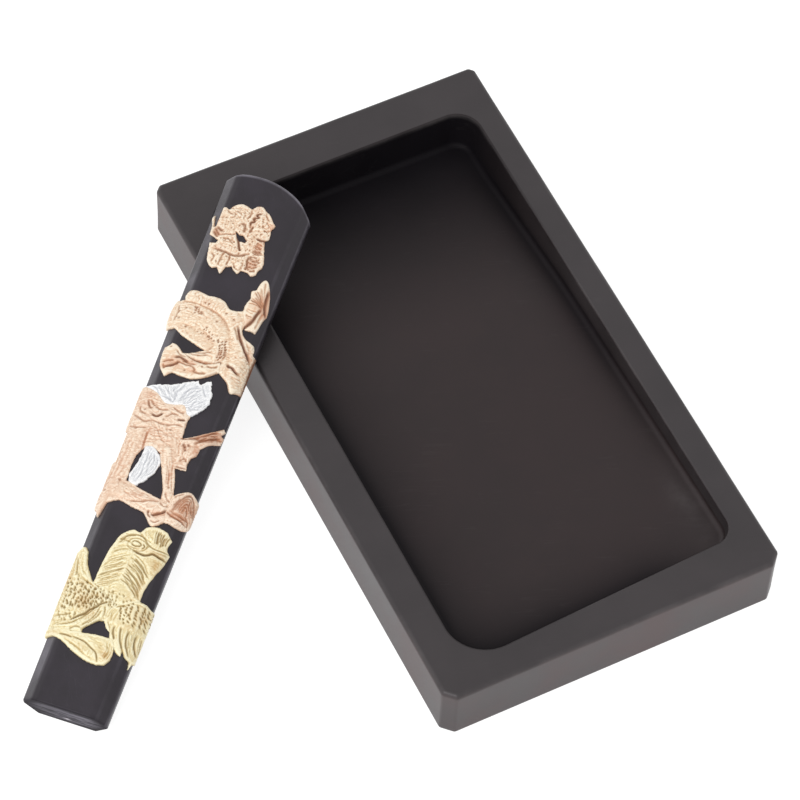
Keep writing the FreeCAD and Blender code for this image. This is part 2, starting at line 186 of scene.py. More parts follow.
# ================ shaders
class Graph:
    """A small writer for a node tree, which keeps the materials below short."""

    def __init__(self, tree: Tree) -> None:
        """Start on an empty tree."""
        tree.nodes.clear()
        self.tree = tree

    def add(self, kind: str, inputs: dict | None = None, **settings: object) -> bpy.types.Node:
        """Add a node, set its properties, then set or link its inputs.

        Args:
            kind: The node's type name, without the words that all shader nodes share.
            inputs: Values or output sockets by input name or number.
            **settings: Properties of the node.

        Returns:
            The node.
        """
        node = self.tree.nodes.new(kind if kind.startswith("Node") else "ShaderNode" + kind)
        for key, value in settings.items():
            setattr(node, key, value)
        for key, value in (inputs or {}).items():
            if isinstance(value, Socket):
                self.tree.links.new(value, node.inputs[key])
            else:
                node.inputs[key].default_value = value
        return node

    def maths(self, operation: str, *terms: object, clamp: bool = False) -> Socket:
        """Return the result of one Math node."""
        return self.add("Math", dict(enumerate(terms)), operation=operation, use_clamp=clamp).outputs[0]

    def times(self, first: object, second: object) -> Socket:
        """Return a product."""
        return self.maths("MULTIPLY", first, second)

    def kept(self, mask: Socket, loss: float) -> Socket:
        """Return what a mask leaves of 1 when it takes away up to the loss."""
        return self.maths("SUBTRACT", 1.0, self.times(mask, loss))

    def mix(self, factor: object, first: object, second: object, blend: str = "MIX") -> Socket:
        """Return a mix of two colours."""
        colours = [(*colour, 1.0) if isinstance(colour, tuple) else colour for colour in (first, second)]
        inputs = {0: factor, 6: colours[0], 7: colours[1]}
        return self.add("Mix", inputs, data_type="RGBA", blend_type=blend).outputs[2]

    def spread(self, value: object, low: float, high: float, start: float = 0.0, end: float = 1.0) -> Socket:
        """Return a value mapped smoothly from low..high to start..end and held inside it."""
        inputs = {0: value, 1: low, 2: high, 3: start, 4: end}
        return self.add("MapRange", inputs, interpolation_type="SMOOTHSTEP").outputs[0]

    def attributes(self, *names: str) -> list[Socket]:
        """Return point attributes of the mesh."""
        return [self.add("Attribute", attribute_name=name).outputs["Fac"] for name in names]

    def place(self, turn: Triple = (0, 0, 0), stretch: Triple = (1, 1, 1)) -> Socket:
        """Return the object's own coordinates, turned and stretched."""
        inputs = {0: self.add("TexCoord").outputs["Object"], "Rotation": turn, "Scale": stretch}
        return self.add("Mapping", inputs, vector_type="TEXTURE").outputs[0]

    def noise(self, vector: Socket, scale: object, detail: float = 3.0, rough: float = 0.55) -> Socket:
        """Return a noise value about 0.5."""
        inputs = {"Vector": vector, "Scale": scale, "Detail": detail, "Roughness": rough}
        return self.add("TexNoise", inputs).outputs[0]

    def looked_at(self) -> tuple[Socket, Socket]:
        """Return the mask of rays from the camera, mirrors and glass, and the mirrors' own mask."""
        path = self.add("LightPath").outputs
        seen = self.maths("MAXIMUM", path["Is Camera Ray"], path["Is Glossy Ray"])
        return self.maths("MAXIMUM", seen, path["Is Transmission Ray"]), path["Is Glossy Ray"]


def new_group(name: str, inputs: dict[str, float], outputs: tuple[str, ...]) -> tuple[Graph, Outputs]:
    """Start a shader node group of numbers with named inputs and outputs."""
    tree = bpy.data.node_groups.new(name, "ShaderNodeTree")
    for key, value in inputs.items():
        tree.interface.new_socket(key, in_out="INPUT", socket_type="NodeSocketFloat").default_value = value
    for key in outputs:
        tree.interface.new_socket(key, in_out="OUTPUT", socket_type="NodeSocketFloat")
    graph = Graph(tree)
    return graph, graph.add("NodeGroupInput").outputs


def grain_group() -> Tree:
    """Build the shared fine grain: mottled tone, pores and a height for the Bump node."""
    inputs = {"Cloud size": 180.0, "Grain size": 2200.0, "Pore amount": 0.3}
    graph, given = new_group("fine_grain", inputs, ("Mottle", "Pores", "Height"))
    here = graph.place()
    cloud = graph.noise(here, given["Cloud size"], 5.0, 0.6)
    fine = graph.noise(here, given["Grain size"], 4.0, 0.7)
    cells = graph.add("TexVoronoi", {"Vector": here, "Scale": given["Grain size"]}).outputs["Distance"]
    holes = graph.times(graph.spread(cells, 0.05, 0.22, 1.0, 0.0), given["Pore amount"])
    height = graph.maths("SUBTRACT", fine, holes)
    graph.add("NodeGroupOutput", {"Mottle": cloud, "Pores": holes, "Height": height})
    return graph.tree


def scuff_group() -> Tree:
    """Build the shared scuffs: thin scratches where noise stretched along one way passes its middle."""
    graph, given = new_group("scuffs", {"Turn": 0.6, "Fineness": 700.0}, ("Mask",))
    here = graph.add("TexCoord").outputs["Object"]
    angle = graph.add("CombineXYZ", {"Z": given["Turn"]}).outputs[0]
    turned = graph.add("Mapping", {0: here, "Rotation": angle}).outputs[0]
    long_way = graph.add("Mapping", {0: turned, "Scale": (0.05, 1.0, 1.0)}).outputs[0]
    thin = graph.noise(long_way, given["Fineness"], 2.0, 0.5)
    line = graph.spread(graph.maths("ABSOLUTE", graph.maths("SUBTRACT", thin, 0.5)), 0.0, 0.02, 1.0, 0.0)
    broken = graph.spread(graph.noise(here, 160.0, 3.0), 0.52, 0.62)
    graph.add("NodeGroupOutput", {"Mask": graph.times(line, broken)})
    return graph.tree


@dataclass(frozen=True)
class Effects:
    """The shared shader groups that the finishes draw on."""

    grain: Tree
    scuffs: Tree


def new_material(name: str) -> tuple[Material, Graph]:
    """Start a material with an empty node tree."""
    material = bpy.data.materials.new(name)
    material.use_nodes = True
    return material, Graph(material.node_tree)


@dataclass(frozen=True)
class Grain:
    """How a finish uses the shared grain: its sizes and pores, and a bump whose depth is in metres."""

    cloud_size: float
    grain_size: float
    pores: float
    strength: float
    depth: float

    def begin(self, name: str, effects: Effects) -> tuple[Material, Graph, Socket, Socket]:
        """Start a material on the shared grain, and return the grain's mottle and height with it."""
        material, graph = new_material(name)
        inputs = {"Cloud size": self.cloud_size, "Grain size": self.grain_size, "Pore amount": self.pores}
        grain = graph.add("Group", inputs, node_tree=effects.grain).outputs
        return material, graph, grain["Mottle"], grain["Height"]

    def close(self, graph: Graph, height: Socket, inputs: dict[str, object]) -> None:
        """End a material in one surface that the grain's height roughens."""
        bump = graph.add("Bump", {"Height": height, "Strength": self.strength, "Distance": self.depth})
        skin = graph.add("BsdfPrincipled", {**inputs, "Normal": bump.outputs[0]})
        graph.add("OutputMaterial", {"Surface": skin.outputs[0]})


@dataclass(frozen=True)
class Scuffing:
    """How a finish uses the shared scuffs: their direction, their fineness and how much they show."""

    turn: float
    fineness: float
    amount: float

    def mask(self, graph: Graph, effects: Effects) -> Socket:
        """Place the group in a material with these values, and return how much of the scuffed colour shows.
        """
        inputs = {"Turn": self.turn, "Fineness": self.fineness}
        return graph.times(graph.add("Group", inputs, node_tree=effects.scuffs).outputs[0], self.amount)


@dataclass(frozen=True)
class StoneFinish:
    """Dark slate: honed on top, sawn on its flanks and stained by ink in its well.

    The well also carries painted shade and a painted glint.
    """

    honed: Colour = srgb(46, 42, 43)
    sawn: Colour = srgb(58, 52, 53)
    warm: Colour = srgb(75, 54, 53)
    stained: Colour = srgb(35, 25, 25)
    # Colour of the ink pool, also painted as shade at the far end and along the foot of the walls.
    ink_pool_and_shade: Colour = srgb(19, 17, 20)
    # Colour of worn edges and scuffs, also painting a glint on the well's floor.
    wear_and_glint_colour: Colour = srgb(92, 88, 88)
    sheen: Colour = (1.0, 0.95, 0.98)
    grain: Grain = Grain(60.0, 2600.0, 0.35, 0.25, 0.00008)
    scuffing: Scuffing = Scuffing(0.4, 500.0, 0.04)
    warm_amount: float = 0.6
    wear_and_glint_amounts: Pair = (0.05, 0.4)
    tones: Pair = (0.84, 1.13)
    roughness: Pair = (0.37, 0.47)
    well_roughness: float = 0.06
    well_dulling: float = 0.25
    ink_pool_and_shade_dulling: float = 0.85
    specular: float = 0.5

    def build(self, effects: Effects) -> Material:
        """Return the stone's material."""
        material, graph, mottle, height = self.grain.begin("dark_slate", effects)
        flank, wear_and_glint, well, ink_pool_and_shade = graph.attributes("flank", "wear_and_glint", "well", "ink_pool_and_shade")
        warmth = graph.times(graph.spread(mottle, 0.35, 0.7), self.warm_amount)
        colour = graph.mix(flank, self.honed, graph.mix(warmth, self.sawn, self.warm))
        # The well takes the ink stain, and the pool colour where ink collects and where shade is painted.
        colour = graph.mix(well, colour, graph.mix(ink_pool_and_shade, self.stained, self.ink_pool_and_shade))
        # Worn edges lighten, and so does a painted glint on the well's floor.
        lightened = graph.times(wear_and_glint, graph.spread(mottle, 0.4, 0.75, *self.wear_and_glint_amounts))
        colour = graph.mix(lightened, colour, self.wear_and_glint_colour)
        colour = graph.mix(self.scuffing.mask(graph, effects), colour, self.wear_and_glint_colour)
        tone = graph.spread(mottle, 0.3, 0.7, *self.tones)
        grey = graph.add("CombineColor", {0: tone, 1: tone, 2: tone}).outputs[0]
        colour = graph.mix(1.0, colour, grey, "MULTIPLY")
        rough = graph.maths("ADD", graph.spread(mottle, 0.2, 0.8, *self.roughness),
                            graph.times(well, self.well_roughness))
        # The ink pool and the painted shade also dull the specular.
        dull = graph.times(graph.kept(well, self.well_dulling), graph.kept(ink_pool_and_shade, self.ink_pool_and_shade_dulling))
        self.grain.close(graph, height, {
            "Base Color": colour, "Roughness": rough, "Specular Tint": (*self.sheen, 1.0),
            "Specular IOR Level": graph.times(dull, self.specular)})
        return material


@dataclass(frozen=True)
class InkFinish:
    """Pressed soot ink: blue-black, close-grained, faintly polished, but dull and streaked where broken.

    Its pale colours also paint highlights on one bevel, on the head's edge and on the foot's chip.
    """

    soot: Colour = srgb(25, 21, 27)
    dusty: Colour = srgb(43, 38, 47)
    # Colour of worn edges, streaks and scuffs, also painting highlights on one bevel and the head's edge.
    wear_and_glint_colour: Colour = srgb(136, 132, 142)
    # A painted glint on the chip at the foot end.
    painted_chip_glint: Colour = srgb(214, 208, 216)
    sheen: Colour = (1.0, 0.95, 1.0)
    grain: Grain = Grain(120.0, 3200.0, 0.4, 0.3, 0.00008)
    scuffing: Scuffing = Scuffing(1.9, 900.0, 0.03)
    dusty_amount: float = 0.6
    wear_and_glint_amounts: Pair = (0.1, 0.8)
    streak_turn: Triple = (0, 0, -0.79)
    streak_stretch: Triple = (7, 1, 1)
    streak_fineness: float = 1500.0
    streak_amounts: Pair = (0.1, 0.85)
    roughness: Pair = (0.32, 0.44)
    broken_roughness: float = 0.25
    broken_dulling: float = 0.75
    specular: float = 0.5

    def build(self, effects: Effects) -> Material:
        """Return the ink's material."""
        material, graph, mottle, height = self.grain.begin("pressed_ink", effects)
        wear_and_glint, broken, torn, painted_chip_glint = graph.attributes("wear_and_glint", "broken", "torn", "painted_chip_glint")
        colour = graph.mix(graph.spread(mottle, 0.35, 0.75, 0.0, self.dusty_amount), self.soot, self.dusty)
        # Worn edges lighten, and the same colour paints highlights on one bevel and the head's rounded edge.
        lightened = graph.times(wear_and_glint, graph.spread(mottle, 0.35, 0.7, *self.wear_and_glint_amounts))
        colour = graph.mix(lightened, colour, self.wear_and_glint_colour)
        place = graph.place(self.streak_turn, self.streak_stretch)
        streaks = graph.noise(place, self.streak_fineness, 3.0, 0.6)
        streaks = graph.spread(streaks, 0.35, 0.66, *self.streak_amounts)
        colour = graph.mix(graph.times(torn, streaks), colour, self.wear_and_glint_colour)
        # A painted glint on the chip at the foot end.
        colour = graph.mix(painted_chip_glint, colour, self.painted_chip_glint)
        colour = graph.mix(self.scuffing.mask(graph, effects), colour, self.wear_and_glint_colour)
        rough = graph.maths("ADD", graph.spread(mottle, 0.2, 0.8, *self.roughness),
                            graph.times(broken, self.broken_roughness))
        self.grain.close(graph, height, {
            "Base Color": colour, "Roughness": rough, "Specular Tint": (*self.sheen, 1.0),
            "Specular IOR Level": graph.times(graph.kept(broken, self.broken_dulling), self.specular)})
        return material


@dataclass(frozen=True)
class GiltFinish:
    """Metal powder brushed on the relief, with a painted highlight on raised parts.

    Painted shade lies in its cuts and on the sides turned from the light.
    """

    name: str
    # The powder's colour, its painted highlight, its warm flush, its painted side shade and its painted dark
    # shade.
    powder: Colour
    painted_highlight: Colour
    flush: Colour
    painted_side_shade: Colour
    painted_hollow_shade: Colour
    grain: Grain = Grain(420.0, 4200.0, 0.5, 0.35, 0.00006)
    patch_amount: float = 0.35
    # How strongly the painted highlight and the painted shades show.
    painted_highlight_amounts: Pair = (0.9, 0.35)
    painted_side_shade_amount: float = 0.55
    painted_recess_amount: float = 0.6
    metallic: float = 0.12
    roughness: Pair = (0.41, 0.55)

    def build(self, effects: Effects) -> Material:
        """Return the gilding's material."""
        material, graph, mottle, height = self.grain.begin(self.name, effects)
        painted_recess_shade, painted_highlight, painted_side_shade, flush, painted_dark_shade = graph.attributes("painted_recess_shade", "painted_highlight", "painted_side_shade", "flush", "painted_dark_shade")
        patchy = graph.spread(mottle, 0.45, 0.75, 0.0, self.patch_amount)
        patchy = graph.maths("ADD", patchy, flush, clamp=True)
        colour = graph.mix(patchy, self.powder, self.flush)
        # Painted highlight: raised parts turn towards the highlight colour.
        bright = graph.times(painted_highlight, graph.spread(patchy, 0.0, 1.0, *self.painted_highlight_amounts))
        colour = graph.mix(bright, colour, self.painted_highlight)
        # Painted shade: sides turned from the light and recesses turn towards the side-shade colour.
        sides, cuts = graph.times(painted_side_shade, self.painted_side_shade_amount), graph.times(painted_recess_shade, self.painted_recess_amount)
        colour = graph.mix(graph.maths("MAXIMUM", sides, cuts), colour, self.painted_side_shade)
        # Painted dark shade in deep cuts and on steep sides turned from the light.
        colour = graph.mix(painted_dark_shade, colour, self.painted_hollow_shade)
        self.grain.close(graph, height, {
            "Base Color": colour, "Roughness": graph.spread(mottle, 0.2, 0.8, *self.roughness),
            "Metallic": graph.times(graph.kept(painted_dark_shade, 1.0), self.metallic)})
        return material


# ================ stone slab
@dataclass(frozen=True)
class WellUse:
    """What the well is marked with: ink, painted shade and a painted glint. Each place is across or along.

    Ink and painted shade darken the far end, painted shade darkens the foot of the walls except near the
    right front corner, and the left side and the near end are darker as well.
    """

    far_ink_and_shade: Pair = (8.0, 58.0)
    left_darkening: Triple = (-28.0, 11.0, 0.35)
    near_darkening: Triple = (-58.0, 7.0, 0.1)
    lightened_along: Pair = (5.0, -45.0)
    lightened_across: Pair = (10.0, 27.0)
    painted_glint_middle: Pair = (27.0, -46.0)
    painted_glint_reach: Pair = (2.6, 8.0)
    painted_glint_amount: float = 1.2
    wall_stain: float = 0.15

    def marks(self, plan: Array, wear_and_glint: float, well: float, crease: float) -> tuple[Array, Array, Array]:
        """Return the wear_and_glint, well and ink_pool_and_shade values of places.

        Args:
            plan: Rows of across and along.
            wear_and_glint: How much its edges are abraded, by the ring's shape.
            well: How much of the ring belongs to the well.
            crease: How near the wall's foot the ring lies, with a minus sign on the wall itself.

        Returns:
            The three values.
        """
        across, along = plan.T
        (left, left_reach, left_amount), (near_end, near_reach, near_amount) = self.left_darkening, self.near_darkening
        side = left_amount * bell(across, left, left_reach) + near_amount * bell(along, near_end, near_reach)
        # Near the right front corner the painted shade at the wall's foot is lightened.
        lightened = smoothstep(*self.lightened_along, along) * smoothstep(*self.lightened_across, across)
        # A painted glint on the well's floor near the right front corner.
        wear_and_glint = wear_and_glint + self.painted_glint_amount * (well > 0.9) * bell(plan, self.painted_glint_middle, self.painted_glint_reach)
        # Ink and painted shade darken the far end; painted shade darkens the walls and floor near the walls'
        # foot.
        clean = (1 - smoothstep(*self.far_ink_and_shade, along)) * (1 - side * (crease >= 0))
        ink_and_shade = 1 - clean * (1 - abs(crease) * (1 - lightened))
        stained = well if crease >= 0 else well * (self.wall_stain + (1 - self.wall_stain) * ink_and_shade)
        return wear_and_glint, stained, ink_and_shade * (well > 0)


@dataclass
class StoneSlab:
    """The carved inkstone: one block with a drafted, filleted well whose floor falls to the deep end where
    ink collects.
    """

    width: float = 71.6
    length: float = 130.0
    height: float = 13.5
    corner_cuts: tuple[float, ...] = (2.2, 2.2, 1.0, 1.2)
    corner_round: float = 1.0
    top_round: float = 0.9
    foot_round: float = 0.5
    rim_corners: tuple[Pair, ...] = ((-28.9, -59.1), (30.2, -56.2), (30.1, 55.6), (-28.9, 55.6))
    rim_radii: tuple[float, ...] = (8.2, 4.2, 5.2, 5.5)
    rim_round: float = 0.5
    wall_draft: float = 9.0
    well_foot_round: float = 1.3
    floor_start: float = -70.0
    floor_depth: float = 3.2
    floor_slope: float = 0.02683
    floor_bends: tuple[Triple, ...] = ((12.0, 0.06408, 90.0), (45.0, -0.09091, 45.0))
    floor_middle: Pair = (0.6, -1.5)
    underside_shares: tuple[float, ...] = (0.05, 0.35, 0.7, 0.93)
    flat_shares: tuple[float, ...] = (0.03, 0.2, 0.4, 0.6, 0.8, 0.97)
    flank_margin: float = 0.3
    arc_points: int = 22
    cut_arc_points: int = 7
    run_points: tuple[int, ...] = (130, 240, 130, 240)
    flank_belly: float = 0.05
    edge_swing: float = 0.12
    edge_waves: tuple[tuple[float, int, float], ...] = ((0.5, 5, 1.1), (0.3, 13, 0.4), (0.2, 31, 2.0))
    flank_ends_at: float = 0.9
    # Painted shade along the foot of the well's walls, fading out across the floor.
    crease: float = 0.8
    crease_fade: float = 12.0
    use: WellUse = WellUse()

    def floor_height(self, along: Array) -> Array:
        """Return the floor's height: a straight fall that each bend turns along a parabola."""
        depth = self.floor_depth + self.floor_slope * (along - self.floor_start)
        for middle, turn, radius in self.floor_bends:
            half = abs(turn) * radius / 2
            past = along - middle
            arc = (np.clip(past, -half, half) + half) ** 2 / (4 * half)
            depth = depth + turn * (arc + np.maximum(past - half, 0))
        return self.height - depth

    def foot_of_wall(self, rim: Array, inward: Array) -> tuple[Array, Array]:
        """Find where the walls meet the floor.

        The wall runs inward by tan(draft) for each millimetre down, and the fillet's end lies on the floor.

        Args:
            rim: Points of the sharp rim.
            inward: Unit normals towards the well.

        Returns:
            The distance inward of the sharp foot, and the floor's height there.
        """
        lean = math.tan(math.radians(self.wall_draft))
        land = self.fillet_reach(self.well_foot_round)
        ground = self.floor_height(rim[:, 1])
        for _ in range(4):
            reach = (self.height - ground) * lean
            ground = self.floor_height(rim[:, 1] + inward[:, 1] * (reach + land))
        return reach, ground

    def fillet_reach(self, radius: float) -> float:
        """Return how far an arc between level ground and the drafted wall reaches from their corner."""
        return radius * math.tan(math.radians((90 - self.wall_draft) / 2))

    def outline(self) -> tuple[Array, Array]:
        """Return the outline from above and its normals: a rectangle with its corners ground off.

        Each arc of the rim has as many points as two of these arcs and the run between them.
        """
        corners = []
        for (side, end), cut in zip(((-1, -1), (1, -1), (1, 1), (-1, 1)), self.corner_cuts):
            on_side = (side * self.width / 2, end * (self.length / 2 - cut))
            on_end = (side * (self.width / 2 - cut), end * self.length / 2)
            corners += [on_side, on_end] if side == end else [on_end, on_side]
        between = self.arc_points - 2 * self.cut_arc_points
        runs = sum(((between, count) for count in self.run_points), ())
        return rounded_outline(tuple(corners), (self.corner_round,) * 8, self.cut_arc_points, runs)

    def rings(self) -> tuple[Array, dict[str, Array]]:
        """Work out the skin as rings from the underside's middle, up the flanks and down into the well.

        Edges are quarter rounds. The top one swings a little in size, by sine waves round the slab.

        Returns:
            The rings, and for each ring point its flank, wear_and_glint, well and ink_pool_and_shade values.
        """
        outer, outward = self.outline()
        rim, rim_out = rounded_outline(self.rim_corners, self.rim_radii, self.arc_points, self.run_points)
        inward = -rim_out
        round_trip = np.linspace(0, 2 * math.pi, len(outer), endpoint=False)
        waves = sum(size * np.sin(count * round_trip + start) for size, count, start in self.edge_waves)
        top_round = self.top_round * (1 + self.edge_swing * waves)
        rings, marks = [], {key: [] for key in ("flank", "wear_and_glint", "well", "ink_pool_and_shade")}

        def ring(plan: Array, up: Array | float, flank: float = 0, wear_and_glint: float = 0, well: float = 0,
                 crease: float = 0) -> None:
            """Add one ring over plan points, and its marks."""
            rings.append(np.column_stack([plan, np.broadcast_to(up, len(plan))]))
            for key, value in zip(marks, (flank, *self.use.marks(plan, wear_and_glint, well, crease))):
                marks[key].append(np.broadcast_to(value, len(plan)))

        for share in self.underside_shares:
            ring((outer - outward * self.foot_round) * share, 0.0, flank=1)
        for turn in np.radians(np.linspace(0, 90, 5)):
            ring(outer - outward * self.foot_round * (1 - math.sin(turn)),
                 self.foot_round * (1 - math.cos(turn)), flank=1, wear_and_glint=math.sin(2 * turn))
        side_foot, side_top = self.foot_round + self.flank_margin, self.height - 1.35 * self.top_round
        for up in np.linspace(side_foot, side_top, 12):
            belly = self.flank_belly * math.sin(math.pi * (up - side_foot) / (side_top - side_foot))
            ring(outer - outward * (belly * (1 + waves))[:, None], up, flank=1)
        for turn in np.radians(np.linspace(0, 90, 8)):
            ring(outer - outward * (top_round * (1 - math.cos(turn)))[:, None],
                 self.height - top_round * (1 - math.sin(turn)),
                 flank=max(0.0, 1 - turn / self.flank_ends_at), wear_and_glint=math.sin(2 * turn))
        edge = outer - outward * top_round[:, None]
        rim_land = self.fillet_reach(self.rim_round)
        lip = rim - inward * rim_land
        for share in self.flat_shares:
            ring(edge + (lip - edge) * share, self.height)
        draft = math.radians(self.wall_draft)
        for turn in np.linspace(math.pi / 2, draft, 7):
            ring(lip + inward * self.rim_round * math.cos(turn),
                 self.height - self.rim_round * (1 - math.sin(turn)),
                 wear_and_glint=math.cos(turn), well=1 - math.sin(turn))
        reach, ground = self.foot_of_wall(rim, inward)
        land = self.fillet_reach(self.well_foot_round)
        start_in, start_up = rim_land * math.sin(draft), self.height - rim_land * math.cos(draft)
        end_in, end_up = reach - land * math.sin(draft), ground + land * math.cos(draft)
        for share in np.linspace(0, 1, 12)[1:-1]:
            ring(rim + inward * (start_in + (end_in - start_in) * share)[:, None],
                 start_up + (end_up - start_up) * share, well=1, crease=-self.crease * share ** 4)
        for turn in np.linspace(draft, math.pi / 2, 9):
            ring(rim + inward * (reach + land - self.well_foot_round * math.cos(turn))[:, None],
                 ground + self.well_foot_round * (1 - math.sin(turn)), well=1, crease=self.crease)
        foot, middle = rings[-1][:, :2], np.array(self.floor_middle)
        for share in np.linspace(0, 1, 30)[1:-1]:
            plan = foot + (middle - foot) * share
            fade = math.exp(-self.crease_fade * share)
            ring(plan, self.floor_height(plan[:, 1]), well=1, crease=self.crease * fade)
        return np.array(rings), {key: np.array(value) for key, value in marks.items()}

    def build(self, material: Material) -> Piece:
        """Make the slab and dress it."""
        rings, marks = self.rings()
        points, faces = closed_rings(rings)
        values = {key: np.append(mark, [mark[0, 0], mark[-1, 0]]) for key, mark in marks.items()}
        slab = make_object("carved_stone", points, faces, values)
        slab.data.materials.append(material)
        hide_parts("stone_slab")
        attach(slab, "inkstone")
        return slab


# ================ ink stick
@dataclass
class StickForm:
    """The stick's own shape: a bar that widens to an arched head, its face bevels crowned in two facets."""

    length: float = 115.9
    foot_width: float = 16.8
    head_width: float = 18.8
    thickness: float = 7.5
    bevel_width: float = 3.2
    bevel_depth: float = 2.5
    crown_width: float = 1.9
    crown_depth: float = 0.5
    back_bevel: float = 2.6
    side_facet: float = 1.4
    arch_radius: float = 16.0
    arch_offset: float = -2.5
    edge_rounds: tuple[float, ...] = (0.4, 0.5, 1.2, 1.2, 2.5)
    edge_wear: tuple[float, ...] = (0.3, 0.4, 0.3, 0.1, 0.0)
    edge_points: int = 9
    # The stick's left steep bevel facet is lightened: a painted highlight.
    lit_bevel_side: int = 6
    painted_bevel_highlight: float = 0.5
    end_round: float = 0.28
    section_runs: tuple[int, ...] = (8, 5, 8, 5, 26, 5, 8, 5, 8, 26)

    def half_width(self, along: Array) -> Array:
        """Return half the width at a distance up from the foot."""
        return (self.foot_width + (self.head_width - self.foot_width) * along / self.length) / 2

    def end(self, across: Array) -> Array:
        """Return how far up the head's arch lies over a point across: a circle's height."""
        across = across - self.arch_offset
        return self.length - self.arch_radius + np.sqrt(self.arch_radius ** 2 - across ** 2)

    def bevel(self) -> tuple[Array, Array]:
        """Return the face bevel's two facets, each steeper than the last: their lengths and their slopes."""
        over = np.array([self.bevel_width - self.crown_width, self.crown_width])
        down = np.array([self.crown_depth, self.bevel_depth - self.crown_depth])
        return np.hypot(over, down), np.arctan2(down, over)

    def section(self, width: float) -> tuple[Array, Array]:
        """Return the section's points and normals, anticlockwise in across and up, its corners rounded."""
        half, widest = width / 2, self.thickness - self.bevel_depth
        right = ((half - self.back_bevel, 0.0), (half, widest - self.side_facet), (half, widest),
                 (half - self.crown_width, self.thickness - self.crown_depth),
                 (half - self.bevel_width, self.thickness))
        left = tuple((-across, up) for across, up in reversed(right))
        rounds = self.edge_rounds + self.edge_rounds[::-1]
        return rounded_outline(right + left, rounds, self.edge_points, self.section_runs)

    def section_wear(self) -> Array:
        """Return the section's edge marks.

        Its corners are abraded, and one bevel's steep facet carries a painted highlight.
        """
        flats = np.zeros(len(self.section_runs))
        # A painted highlight along one bevel's steep facet.
        flats[self.lit_bevel_side] = self.painted_bevel_highlight
        marks = zip(self.edge_wear + self.edge_wear[::-1], flats, self.section_runs)
        rows = [np.repeat((mark, flat), (self.edge_points, count)) for mark, flat, count in marks]
        return np.concatenate(rows)


@dataclass(frozen=True)
class Lean:
    """How the stick rests: its foot's back edge on the table, one back crease on the slab's rounded edge."""

    slab: StoneSlab
    form: StickForm
    foot: Pair = (-98.2, -31.8)
    heading: float = 44.6
    gap: float = 0.06

    def place(self, points: Array) -> Array:
        """Turn points of the stick's own frame into the shared frame.

        Seen from the slab's end, the crease climbs by the angle up to the edge round's middle plus the angle
        that the round's radius takes off the line. The stick's slope is what gives its crease that climb.

        Args:
            points: Rows of across, along and up.

        Returns:
            Rows in the shared frame.
        """
        slab, form, heading = self.slab, self.form, math.radians(self.heading)
        half_back = form.foot_width / 2 - form.back_bevel
        widening = (form.head_width - form.foot_width) / 2 / form.length
        edge_across = -slab.width / 2 + slab.top_round - self.foot[0] - half_back * math.sin(heading)
        edge_up = slab.height - slab.top_round
        climb = math.atan2(edge_up, edge_across)
        climb += math.asin((slab.top_round + self.gap) / math.hypot(edge_across, edge_up))
        level = math.atan(math.tan(climb) * math.cos(heading))
        slope = level + math.asin(math.cos(level) * math.tan(climb) * widening * math.sin(heading))
        turn = Matrix.Rotation(heading - math.pi / 2, 3, "Z") @ Matrix.Rotation(slope, 3, "X")
        return points @ np.array(turn).T + np.array((*self.foot, 0.0))


